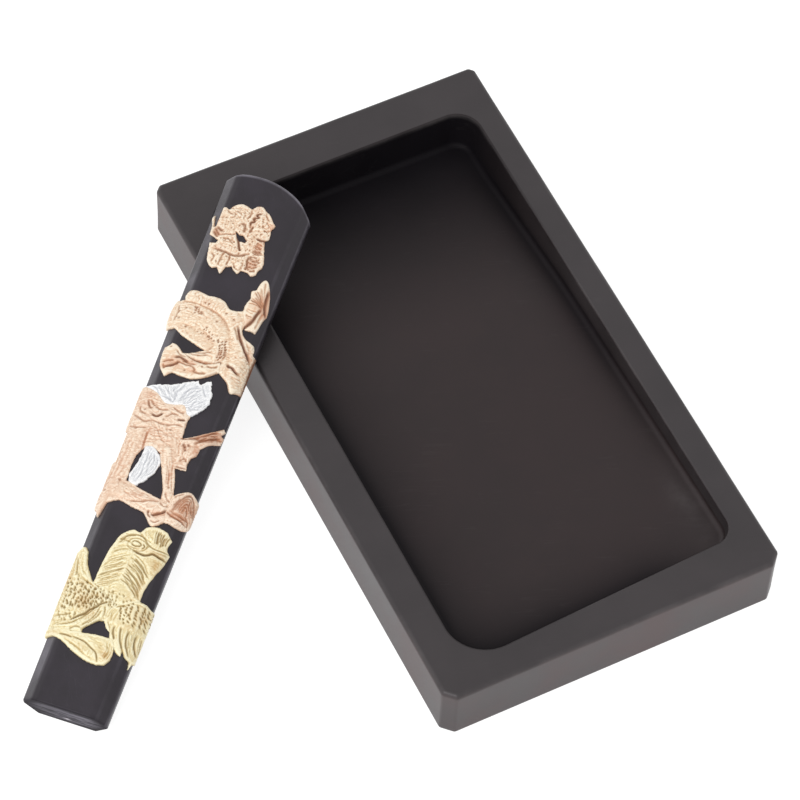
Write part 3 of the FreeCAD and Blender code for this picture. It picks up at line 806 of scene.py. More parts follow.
@dataclass
class InkStick:
    """The pressed bar of ink under the gilding. Its foot end is broken off, grainy and chipped."""

    form: StickForm
    lean: Lean
    stations: int = 150
    end_stations: float = 0.006
    round_points: int = 5
    foot_closing: tuple[float, ...] = (*np.linspace(0.95, 0.1, 18), 0.03)
    head_closing: tuple[float, ...] = (0.03, 0.12, 0.3, 0.5, 0.7, 0.9)
    grit: float = 0.07
    grit_across: Pair = (2.1, 0.7)
    grit_up: Pair = (1.7, 0.3)
    torn_from: float = 0.4
    torn_across: Pair = (-6.0, 7.0)
    torn_left: float = 0.55
    # A painted glint where the foot end is chipped.
    painted_chip_glint_middle: Pair = (0.2, 2.1)
    painted_chip_glint_reach: Pair = (0.6, 0.3)

    def build(self, material: Material) -> Piece:
        """Make the bar.

        Rings run from the foot to the head. Each end turns in by a quarter round, then closes to its middle.
        """
        form, reach = self.form, self.form.end_round
        foot, facing = form.section(form.foot_width)
        head, _ = form.section(form.head_width)
        edge = form.section_wear()
        rings, marks = [], {key: [] for key in ("wear_and_glint", "broken", "torn", "painted_chip_glint")}

        def ring(share: float, inset: float = 0, back: float = 0, close: float = 0, lightened: float = 0,
                 broken: float = 0) -> None:
            """Add a ring and its marks.

            Args:
                share: Its share of the length.
                inset: How far it is turned in.
                back: How far it lies from the end.
                close: How far it closes to the section's middle, as a share.
                lightened: The least wear_and_glint value that it has all round, a painted highlight at the
                    head.
                broken: How much of the end's rough break it shows.
            """
            plan = (foot + (head - foot) * share - facing * inset) * (1 - close)
            plan += np.array([0, form.thickness / 2]) * close
            across, up = plan.T
            at_foot = (close > 0) * (share < 0.5)
            grain = np.sin(self.grit_across[0] * across + self.grit_across[1])
            grain = self.grit * grain * np.sin(self.grit_up[0] * up + self.grit_up[1]) * close * at_foot
            rings.append(np.column_stack([across, form.end(across) * share + back + abs(grain), up]))
            torn = self.torn_left + (1 - self.torn_left) * smoothstep(*self.torn_across, across)
            marks["wear_and_glint"].append(np.maximum(edge, lightened) * (close == 0))
            marks["broken"].append(np.full(len(plan), broken if close == 0 else 1.0))
            marks["torn"].append(smoothstep(0.0, self.torn_from, np.full(len(plan), close)) * torn)
            marks["painted_chip_glint"].append(bell(plan, self.painted_chip_glint_middle, self.painted_chip_glint_reach) * at_foot)

        turns = np.radians(np.linspace(0, 90, self.round_points))
        for close in self.foot_closing:
            ring(0.0, reach, close=close)
        for turn in turns:
            ring(0.0, reach * (1 - math.sin(turn)), reach * (1 - math.cos(turn)), broken=1 - turn / 2)
        for share in np.linspace(self.end_stations, 1 - self.end_stations, self.stations):
            ring(share)
        # The head's rounded edge is lightened all round: a painted highlight.
        for turn in turns[::-1]:
            ring(1.0, reach * (1 - math.sin(turn)), -reach * (1 - math.cos(turn)), lightened=1.0)
        for close in self.head_closing:
            ring(1.0, reach, close=close)
        points, faces = closed_rings(np.array(rings))
        values = {key: np.concatenate([*rows, np.zeros(2)]) for key, rows in marks.items()}
        bar = make_object("ink_bar", self.lean.place(points), [block[:, ::-1] for block in faces], values)
        bar.data.materials.append(material)
        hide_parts("ink_stick_core")
        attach(bar, "ink_stick")
        return bar


# ================ carving the relief
SIDE = 120                # tenths: past the stick's flank, so an outline that reaches it wraps over the edge
Line = tuple[float, ...]
Strokes = tuple[Line, ...]
Bells = tuple[tuple[float, float, float, float, float], ...]


def places(line: Line, datum: int) -> Array:
    """Return a drawn line's places. It gives across from the middle and along from the datum in turn."""
    return (np.array(line, dtype=float).reshape(-1, 2) + (0, datum)) / 10


def smooth_path(knots: Array, per_span: int = 7) -> Array:
    """Return a Catmull-Rom curve through the knots, or the two knots themselves.

    Each span is a cubic between its knots, with slopes of half the step between the knots beside them.
    """
    if len(knots) < 3:
        return knots
    padded = np.concatenate([2 * knots[:1] - knots[1:2], knots, 2 * knots[-1:] - knots[-2:-1]])
    before, start, end, after = (padded[k:len(padded) - 3 + k, None] for k in range(4))
    t = np.linspace(0, 1, per_span, endpoint=False)[None, :, None]
    curve = start + 0.5 * t * (end - before + t * (2 * before - 5 * start + 4 * end - after
                                                   + t * (3 * (start - end) + after - before)))
    return np.concatenate([curve.reshape(-1, 2), knots[-1:]])


def path_distance(where: Array, path: Array) -> tuple[Array, Array]:
    """Return each point's distance to a path of straight runs, and where along it the nearest place is."""
    start, run = path[:-1], path[1:] - path[:-1]
    away = where[:, None] - start
    share = np.clip((away * run).sum(-1) / np.maximum((run ** 2).sum(-1), 1e-9), 0, 1)
    gap = np.linalg.norm(away - share[..., None] * run, axis=-1)
    nearest = gap.argmin(1)
    rows = np.arange(len(where))
    return gap[rows, nearest], (nearest + share[rows, nearest]) / len(run)


def near(where: Array, path: Array, reach: float) -> Array:
    """Return which points lie within reach of a path's bounding box."""
    return ((where > path.min(0) - reach) & (where < path.max(0) + reach)).all(1)


def lattice_noise(where: Array, size: float, seed: int) -> Array:
    """Return smooth noise from -1 to 1: seeded random values on a square lattice, blended by smoothstep."""
    cell = where / size
    low = np.floor(cell).astype(int)
    share = smoothstep(0, 1, cell - low).T
    low -= low.min(0)
    values = np.random.default_rng(seed).uniform(-1, 1, low.max(0) + 2)
    column, row = low.T
    first = values[column, row] * (1 - share[0]) + values[column + 1, row] * share[0]
    second = values[column, row + 1] * (1 - share[0]) + values[column + 1, row + 1] * share[0]
    return first * (1 - share[1]) + second * share[1]


def blurred(grid: Array, cells: float) -> Array:
    """Return a grid blurred by a bell of the given width in cells, its border rows repeated outward."""
    half = int(3 * cells)
    weights = np.exp(-0.5 * (np.arange(-half, half + 1) / cells) ** 2)
    weights /= weights.sum()
    for _ in range(2):
        padded = np.pad(grid, ((half, half), (0, 0)), mode="edge")
        grid = sum(weight * padded[shift:shift + len(grid)] for shift, weight in enumerate(weights)).T
    return grid


@dataclass
class Carving:
    """A motif's surface while it is being carved: places on the unrolled face and what is known of each."""

    where: Array
    datum: int
    height: Array
    painted_dark_shade: Array
    flush: Array

    def places(self, line: Line) -> Array:
        """Return a drawn line's places in millimetres."""
        return places(line, self.datum)

    def path(self, line: Line) -> Array:
        """Return the curve through a drawn line's places."""
        return smooth_path(self.places(line))

    def sink(self, chosen: Array, shape: Array, depth: float, painted_dark_shade: float) -> None:
        """Press a shape of 0 to 1 into the chosen places, and paint shade into it."""
        self.height[chosen] -= depth * shape
        self.painted_dark_shade[chosen] = np.maximum(self.painted_dark_shade[chosen], painted_dark_shade * shape)

    def groove(self, path: Array, depth: float, width: float) -> None:
        """Cut a line: a bell-shaped furrow that fades at its ends. Only deep ones get painted shade."""
        chosen = near(self.where, path, 2.5 * width)
        if chosen.any():
            gap, share = path_distance(self.where[chosen], path)
            fade = np.sqrt(np.clip(np.minimum(share, 1 - share) * 8 + 0.15, 0, 1))
            self.sink(chosen, bell(gap, 0.0, width) * fade, depth, min(max((depth - 0.14) / 0.3, 0.0), 1.0))

    def add_bells(self, layer: Array, bells: Bells) -> None:
        """Add bells to a layer, each given as across, along, its two reaches in tenths, and its amount."""
        for across, along, reach_across, reach_along, amount in bells:
            middle = self.places((across, along))[0]
            layer += amount * bell(self.where, middle, (reach_across / 10, reach_along / 10))


@dataclass(frozen=True)
class Cuts:
    """Knife lines of one depth and width."""

    depth: float
    width: float
    lines: Strokes

    def apply(self, carving: Carving) -> None:
        """Cut the lines."""
        for line in self.lines:
            carving.groove(carving.path(line), self.depth, self.width)


@dataclass(frozen=True)
class Strands:
    """Hand-cut lines that pass unevenly from a first path to a last one, as hair, feathers and folds do."""

    first: Line
    last: Line
    count: int
    depth: float = 0.2
    width: float = 0.15
    stray: float = 0.12

    def apply(self, carving: Carving) -> None:
        """Cut each line: a mix of the two paths that a seeded draw shifts, sways, shortens and deepens."""
        first, last = carving.places(self.first), carving.places(self.last)
        for number in range(self.count):
            draw = np.random.default_rng(97 * self.count + number).uniform(-1, 1, 7)
            share = (number + 0.5 + 0.3 * draw[0]) / self.count
            line = smooth_path(first + (last - first) * share, 6)
            along = np.linspace(0, 1, len(line))
            run = np.gradient(line, axis=0)
            across = np.column_stack([-run[:, 1], run[:, 0]]) / np.linalg.norm(run, axis=1)[:, None]
            slow = draw[1] * np.sin(7 * along + 3 * draw[2])
            sway = self.stray * (slow + 0.7 * draw[3] * np.sin(13 * along + 3 * draw[4]))
            before, after = (int(len(line) * 0.12 * (1 + late)) for late in draw[5:])
            kept = slice(before, len(line) - after)
            line = line + across * sway[:, None]
            carving.groove(line[kept], self.depth * (1 + 0.35 * draw[0]), self.width)


@dataclass(frozen=True)
class Roll:
    """A rounded limb or lip along a path, on the level surface. Its half width changes end to end."""

    line: Line
    half_widths: Pair
    rise: float
    foot: float = 0.4

    def apply(self, carving: Carving) -> None:
        """Raise a half ellipse: rise times the root of 1 - (distance / half width) squared."""
        path = carving.path(self.line)
        chosen = near(carving.where, path, max(self.half_widths))
        gap, share = path_distance(carving.where[chosen], path)
        half = self.half_widths[0] + (self.half_widths[1] - self.half_widths[0]) * share
        crown = self.foot + self.rise * np.sqrt(np.clip(1 - (gap / half) ** 2, 0, 1))
        level = carving.height[chosen]
        carving.height[chosen] = np.where(gap < half, np.maximum(level, crown), level)


@dataclass(frozen=True)
class Swells:
    """Soft rises or hollows."""

    bells: Bells

    def apply(self, carving: Carving) -> None:
        """Add each bell to the height."""
        carving.add_bells(carving.height, self.bells)


@dataclass(frozen=True)
class Flushes:
    """Places where the powder is thin and the warmer tone comes through."""

    bells: Bells

    def apply(self, carving: Carving) -> None:
        """Add each bell to the warm tone."""
        carving.add_bells(carving.flush, self.bells)


@dataclass(frozen=True)
class Scales:
    """Drop-shaped punch marks in staggered rows between two paths, as scales and stipple are made."""

    first: Line
    last: Line
    rows: int
    count: int
    size: Pair = (0.30, 0.17)
    bearing: float = 60.0
    depth: float = 0.2
    stray: float = 0.14

    def apply(self, carving: Carving) -> None:
        """Sink each mark: a bell, long along its bearing and short across it, that a seeded draw moves."""
        paths = [carving.path(line) for line in (self.first, self.last)]
        draws = np.random.default_rng(31 * self.rows + self.count).uniform(-1, 1, (self.rows, self.count, 4))
        for row, across in enumerate(np.linspace(0, 1, self.rows)):
            share = (np.arange(self.count) + 0.25 + 0.5 * (row % 2)) / self.count
            ends = [np.stack([np.interp(share, np.linspace(0, 1, len(path)), axis) for axis in path.T], 1)
                    for path in paths]
            middles = ends[0] * (1 - across) + ends[1] * across + self.stray * draws[row, :, :2]
            for middle, (turned, scaled) in zip(middles, draws[row, :, 2:]):
                chosen = near(carving.where, middle[None], 2.2 * self.size[0])
                away = (carving.where[chosen] - middle) @ turned_axes(self.bearing + 14 * turned)
                mark = bell(away, (0.0, 0.0), np.array(self.size) * (1 + 0.25 * scaled))
                carving.sink(chosen, mark, self.depth, 2.2 * self.depth)


@dataclass(frozen=True)
class Pits:
    """Small round marks at given places."""

    spots: Line
    radius: float = 0.17
    depth: float = 0.18

    def apply(self, carving: Carving) -> None:
        """Sink each mark."""
        for spot in carving.places(self.spots):
            chosen = near(carving.where, spot[None], 2.5 * self.radius)
            carving.sink(chosen, bell(carving.where[chosen], spot, self.radius), self.depth, 2.5 * self.depth)


@dataclass(frozen=True)
class Chasing:
    """The uneven texture that a graver leaves, drawn out along one bearing where it was dragged."""

    depth: float = 0.09
    size: float = 0.42
    bearing: float = 0.0
    drawn_out: float = 1.0
    seed: int = 1

    def apply(self, carving: Carving) -> None:
        """Add fine noise and cut narrow furrows where a mix of two scales of noise passes nought."""
        spot = carving.where @ turned_axes(self.bearing) / np.array([self.drawn_out, 1.0])
        spot = spot + 0.25 * lattice_noise(spot, 2.1, self.seed + 3)[:, None]
        coarse = lattice_noise(spot, self.size, self.seed)
        fine = lattice_noise(spot, 0.6 * self.size, self.seed + 1)
        furrow = bell(0.6 * coarse + 0.4 * fine, 0.0, 0.14)
        carving.height += self.depth * (0.5 * fine - furrow)
        # The deeper furrows get painted dark shade.
        carving.painted_dark_shade = np.maximum(carving.painted_dark_shade, np.clip(4 * self.depth - 0.35, 0, 1) * furrow)


Feature = Cuts | Strands | Roll | Swells | Flushes | Scales | Pits | Chasing


# ================ the relief
class Gilt(Enum):
    """The metal powders that the relief is painted with."""

    ROSE = "rose_gilt"
    COPPER = "copper_gilt"
    SILVER = "silver_gilt"
    GOLD = "gold_gilt"


@dataclass(frozen=True)
class Motif:
    """One painted part of the relief: its outline on the face, its carving and how uneven its border is.

    An outline or a hole is a closed row of strokes. Each stroke starts where the one before it ends.
    """

    node: str
    piece: str
    gilt: Gilt
    datum: int
    outline: Strokes
    carved: tuple[Feature, ...]
    level: float = 0.55
    hole: Strokes = ()
    ragged: float = 0.06

    def lines(self) -> list[Array]:
        """Return the outline, and the hole if there is one, as closed lines of close points."""
        return [close_line(strokes, self.datum) for strokes in (self.outline, self.hole) if strokes]

    def inside(self, where: Array) -> Array:
        """Return how far each place lies inside the motif, less than nothing outside it."""
        depth, *hole = (signed_distance(where, line) for line in self.lines())
        return np.minimum(depth, -hole[0]) if hole else depth


def close_line(strokes: Strokes, datum: int) -> Array:
    """Join strokes into one closed line. A stroke is a smooth curve or, with one place, a straight run."""
    drawn = [places(stroke, datum) for stroke in strokes]
    starts = [stroke[-1:] for stroke in drawn[-1:] + drawn[:-1]]
    spans = [smooth_path(np.concatenate(pair), 8)[:-1] for pair in zip(starts, drawn)]
    return np.concatenate([*spans, starts[0]])


def signed_distance(where: Array, line: Array) -> Array:
    """Return the distance to a closed line, positive inside.

    A place is inside if a level ray from it crosses the line an odd number of times.
    """
    depth = np.empty(len(where))
    start, end = line[:-1], line[1:]
    rise = end[:, 1] - start[:, 1]
    slope = (end[:, 0] - start[:, 0]) / np.where(rise == 0, 1, rise)
    for block in blocks_of(where, 4000):
        spot = where[block]
        gap, _ = path_distance(spot, line)
        spans = (start[:, 1] > spot[:, 1:]) != (end[:, 1] > spot[:, 1:])
        crossing = start[:, 0] + (spot[:, 1:] - start[:, 1]) * slope
        odd = (spans & (spot[:, :1] < crossing)).sum(1) % 2 == 1
        depth[block] = np.where(odd, gap, -gap)
    return depth


def nearest_distance(where: Array, spots: Array) -> Array:
    """Return each place's distance to the nearest of some spots, and a great one if there are none."""
    reach = np.full(len(where), 9.0)
    for block in blocks_of(where, 3000) if len(spots) else ():
        away = where[block][:, None] - spots
        reach[block] = np.sqrt((away ** 2).sum(-1).min(1))
    return reach


def blocks_of(where: Array, size: int) -> list[Array]:
    """Number the places and split them into blocks of about a size, to keep the tables in memory small."""
    return np.array_split(np.arange(len(where)), max(1, len(where) // size))


def refine(line: Array, step: float) -> Array:
    """Return points about a step apart along a line."""
    length = np.concatenate([[0], np.cumsum(np.linalg.norm(np.diff(line, axis=0), axis=1))])
    at = np.arange(0, length[-1], step)
    return np.column_stack([np.interp(at, length, axis) for axis in line.T])


# The part of a grid cell that is kept, by which corners lie inside. Corners are 0 to 3 and the crossings on
# the sides that follow them are 4 to 7, anticlockwise. A corner counts 1, 2, 4 or 8 in the case's number.
CELL_SHAPES = {
    1: [[0, 4, 7]], 2: [[1, 5, 4]], 4: [[2, 6, 5]], 8: [[3, 7, 6]],
    3: [[0, 1, 5, 7]], 6: [[1, 2, 6, 4]], 12: [[2, 3, 7, 5]], 9: [[0, 4, 6, 3]],
    5: [[0, 4, 7], [2, 6, 5]], 10: [[1, 5, 4], [3, 7, 6]],
    7: [[0, 1, 2, 6, 7]], 11: [[0, 1, 5, 6, 3]], 13: [[0, 4, 5, 2, 3]], 14: [[1, 2, 3, 7, 4]],
    15: [[0, 1, 2, 3]],
}


def clip_grid(inside: Array, fields: list[Array]) -> tuple[Array, list[Array], Array]:
    """Cut a square grid along the line where a field is nought.

    Cells that the line crosses keep their inner part, whose new corners lie where the field, taken as
    straight along each side of the cell, passes nought.

    Args:
        inside: The field on the grid, positive inside, rows by columns.
        fields: Values on the grid that each vertex carries, the two coordinates among them.

    Returns:
        The fields at the vertices, the face arrays, and the border's directed edges.
    """
    kept = inside > 0
    count = int(kept.sum())
    corner_id = np.where(kept, np.cumsum(kept.ravel()).reshape(kept.shape) - 1, -1)
    layers = np.stack(fields)
    found = [layers[:, kept]]
    every, but_last, but_first = slice(None), slice(None, -1), slice(1, None)

    def crossings(low: tuple[slice, slice], high: tuple[slice, slice]) -> Array:
        """Number the crossings on one family of grid sides and store what lies there."""
        nonlocal count
        crossed = kept[low] != kept[high]
        share = (inside[low] / np.where(crossed, inside[low] - inside[high], 1))[crossed]
        start, end = (layers[(every, *side)][:, crossed] for side in (low, high))
        found.append(start * (1 - share) + end * share)
        number = np.where(crossed, np.cumsum(crossed.ravel()).reshape(crossed.shape) - 1 + count, -1)
        count += int(crossed.sum())
        return number

    level = crossings((every, but_last), (every, but_first))
    upright = crossings((but_last, every), (but_first, every))
    corners = [corner_id[:-1, :-1], corner_id[:-1, 1:], corner_id[1:, 1:], corner_id[1:, :-1],
               level[:-1], upright[:, 1:], level[1:], upright[:, :-1]]
    table = np.stack([layer.ravel() for layer in corners], 1)
    code = ((table[:, :4] >= 0) * np.array([1, 2, 4, 8])).sum(1)
    faces, edges = [], []
    for case, shapes in CELL_SHAPES.items():
        cells = table[code == case]
        for shape in shapes:
            faces.append(cells[:, shape])
            edges += [cells[:, [a, b]] for a, b in zip(shape, shape[1:] + shape[:1]) if a > 3 and b > 3]
    return np.concatenate(found, 1), [block for block in faces if len(block)], np.concatenate(edges)


@dataclass
class Relief:
    """The gilded ornament, carved on the stick's unrolled face and wrapped back over its bevels."""

    form: StickForm
    lean: Lean
    pitch: float = 0.105
    sliver: float = 0.12
    margins: Pair = (1.5, 0.5)
    border_step: float = 0.1
    past_border: float = 0.3
    shoulder: float = 0.42
    edge_height: float = 0.05
    least_height: float = 0.12
    sunk: float = 0.2
    side_reach: float = 0.6
    creases: Triple = (0.7, 0.45, 0.6)
    bend_from: float = -1.5
    bend_steps: tuple[float, float, int] = (-2.0, 6.0, 1601)
    seam_depth: float = 0.08
    seam_width: float = 0.22
    shared_within: float = 0.2
    ragged_size: float = 0.45
    ragged_between: Pair = (0.15, 0.6)
    broad_blur: float = 0.4
    fine_blur: float = 0.16
    # Painted light: the bearing that light comes from on the face, and the ranges of painted shade and
    # highlight.
    painted_light_from: Pair = (0.75, 0.66)
    painted_hollow_shade: Pair = (0.01, 0.12)
    painted_seam_shade: float = 0.15
    painted_highlight: Pair = (0.0, 0.07)
    painted_side_shade: Pair = (0.1, 1.1)
    shade: Pair = (0.8, 1.5)
    turned_side_dark_shade: float = 0.8

    def __post_init__(self) -> None:
        """Work out the face's edge once: how the surface turns down at each crease, in small steps."""
        lengths, slopes = self.form.bevel()
        self.bevel_ends = np.concatenate([[0.0], np.cumsum(lengths)])
        self.steps = np.linspace(*self.bend_steps)
        step = self.steps[1] - self.steps[0]
        bends = zip(np.diff([0.0, *slopes, math.pi / 2]), self.creases, self.bevel_ends)
        self.turns = sum(bend * smoothstep(-reach, reach, self.steps - end) for bend, reach, end in bends)
        self.across = np.cumsum(np.cos(self.turns)) * step
        self.across -= np.interp(self.bend_from, self.steps, self.across) - self.bend_from
        self.down = np.cumsum(np.sin(self.turns)) * step

    def shelf(self, along: Array) -> Array:
        """Return half the flat face's width at a distance up from the foot."""
        return self.form.half_width(along) - self.form.bevel_width

    def wrap(self, unrolled: Array, along: Array, height: Array) -> Array:
        """Place points of the unrolled face on the stick, raised along the surface's own direction."""
        side = np.where(unrolled < 0, -1.0, 1.0)
        shelf = self.shelf(along)
        past = np.abs(unrolled) - shelf
        flat = past < self.bend_from
        over = np.where(flat, np.abs(unrolled), shelf + np.interp(past, self.steps, self.across))
        turn, down = np.where(flat, 0, [np.interp(past, self.steps, row) for row in (self.turns, self.down)])
        points = np.stack([side * (over + height * np.sin(turn)), along,
                           self.form.thickness - down + height * np.cos(turn)], 1)
        return self.lean.place(points)

    def flat_place(self, unrolled: Array, along: Array) -> Array:
        """Return the places on the drawn face, where a bevel's facets count at their widths."""
        shelf = self.shelf(along)
        past = np.maximum(np.abs(unrolled) - shelf, 0)
        widths = np.array([0.0, self.form.bevel_width - self.form.crown_width, self.form.bevel_width])
        beyond = np.maximum(past - self.bevel_ends[-1], 0)
        over = np.minimum(np.abs(unrolled), shelf) + np.interp(past, self.bevel_ends, widths) + beyond
        return np.column_stack([np.where(unrolled < 0, -over, over), along])

    def grid(self, outline: Array) -> list[Array]:
        """Return a square grid on the unrolled face that holds an outline, as its across and its along."""
        wrapped = self.bevel_ends[-1] - self.form.bevel_width + self.side_reach
        widest = self.form.head_width / 2 + wrapped + 3 * self.pitch
        (left, foot), (right, head) = outline.min(0) - self.margins, outline.max(0) + self.margins
        columns = np.arange(max(-widest, left), min(widest, right), self.pitch)
        return np.meshgrid(columns, np.arange(foot, head, self.pitch))

    def build_motif(self, motif: Motif, earlier: list[Motif], group: list[Motif],
                    material: Material) -> Piece:
        """Carve one motif and close it into a solid skin that is seated in the stick.

        Args:
            motif: The motif.
            earlier: Motifs that cut this one where they overlap.
            group: All motifs that touch each other here, whose shared borders aren't rounded.
            material: Its gilding.

        Returns:
            The piece.
        """
        outline = motif.lines()[0]
        unrolled, along = self.grid(outline)
        shape = unrolled.shape
        place = self.flat_place(unrolled.ravel(), along.ravel())
        limit = self.form.half_width(place[:, 1]) + self.side_reach - np.abs(place[:, 0])
        inside = np.minimum(motif.inside(place), limit)
        for other in earlier:
            inside = np.minimum(inside, -other.inside(place))
        free, shared = self.borders(motif, earlier, group, place)
        free = np.clip(np.minimum(free, limit), 0, None)
        frayed = 1 + lattice_noise(place, self.ragged_size, len(outline))
        inside -= motif.ragged * frayed * smoothstep(*self.ragged_between, shared)
        least = self.sliver * self.pitch
        inside = np.where(np.abs(inside) < least, np.where(inside > 0, least, -least), inside)
        height, marks = self.carve(motif, place, inside, free, shared, shape)
        fields = [field.reshape(shape) for field in (unrolled, along, height, *marks.values())]
        (unrolled, along, height, *carried), faces, edges = clip_grid(inside.reshape(shape), fields)
        top = self.wrap(unrolled, along, height)
        bottom = self.wrap(unrolled, along, np.full(len(along), -self.sunk))
        shift = len(top)
        walls = np.column_stack([edges[:, 1], edges[:, 0], edges[:, 0] + shift, edges[:, 1] + shift])
        blocks = faces + [block[:, ::-1] + shift for block in faces] + [walls]
        values = {key: np.tile(value, 2) for key, value in zip(marks, carried)}
        piece = make_object(motif.piece, np.concatenate([top, bottom]), blocks, values)
        piece.data.materials.append(material)
        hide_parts(motif.node)
        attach(piece, "ink_stick")
        return piece

    def carve(self, motif: Motif, place: Array, inside: Array, free: Array, shared: Array,
              shape: tuple[int, int]) -> tuple[Array, dict[str, Array]]:
        """Work out a motif's height and marks on the grid.

        The height falls to its free border by a quarter ellipse as wide as the shoulder. What stands above
        its own blurred copy gets a painted highlight, what lies below and shared borders get painted shade,
        and slopes turned from the light's bearing get painted shade as well.

        Args:
            motif: The motif.
            place: Rows of across and along on the face's plane.
            inside: How far each place lies inside the motif.
            free: How far each place lies from the free border.
            shared: How far each place lies from borders that it shares.
            shape: The grid's rows and columns.

        Returns:
            The height, and the marks by name.
        """
        nought = np.zeros(len(place))
        carving = Carving(place, motif.datum, nought + motif.level, nought.copy(), nought.copy())
        for feature in motif.carved:
            feature.apply(carving)
        seam = bell(shared, 0.0, self.seam_width)
        height = np.maximum(carving.height - self.seam_depth * seam, self.least_height)
        ramp = np.clip(free / self.shoulder, 0, 1)
        height = self.edge_height + (height - self.edge_height) * np.sqrt(np.clip(1 - (1 - ramp) ** 2, 0, 1))
        # Painted highlight on what stands above the blurred height, painted shade on what lies below and on
        # shared borders.
        seen = np.where(inside > -self.past_border, height, 0).reshape(shape)
        stand = (seen - blurred(seen, self.broad_blur / self.pitch)).ravel()
        # Painted shade on slopes turned from the light's bearing, the steepest also painted dark.
        tilt = np.gradient(blurred(seen, self.fine_blur / self.pitch), self.pitch)
        turned = (self.painted_light_from[0] * -tilt[1] + self.painted_light_from[1] * tilt[0]).ravel()
        return height, {
            "painted_recess_shade": np.clip(smoothstep(*self.painted_hollow_shade, -stand) + self.painted_seam_shade * seam, 0, 1),
            "painted_dark_shade": np.clip(carving.painted_dark_shade + self.turned_side_dark_shade * smoothstep(*self.shade, turned), 0, 1),
            "painted_highlight": smoothstep(*self.painted_highlight, stand),
            "painted_side_shade": smoothstep(*self.painted_side_shade, turned),
            "flush": np.clip(carving.flush, 0, 1),
        }

    def borders(self, motif: Motif, earlier: list[Motif], group: list[Motif],
                place: Array) -> list[Array]:
        """Measure how far each place lies from the motif's free border and from borders that it shares.

        Args:
            motif: The motif.
            earlier: Motifs that cut this one.
            group: All motifs that may share its border.
            place: Rows of across and along on the face's plane.

        Returns:
            Both distances.
        """
        lines = motif.lines() + [other.lines()[0] for other in earlier]
        spots = np.concatenate([refine(line, self.border_step) for line in lines])
        spots = spots[motif.inside(spots) > -self.border_step / 2]
        touching = np.zeros(len(spots), dtype=bool)
        for other in group:
            if other is not motif:
                touching |= other.inside(spots) > -self.shared_within
        return [nearest_distance(place, chosen) for chosen in (spots[~touching], spots[touching])]


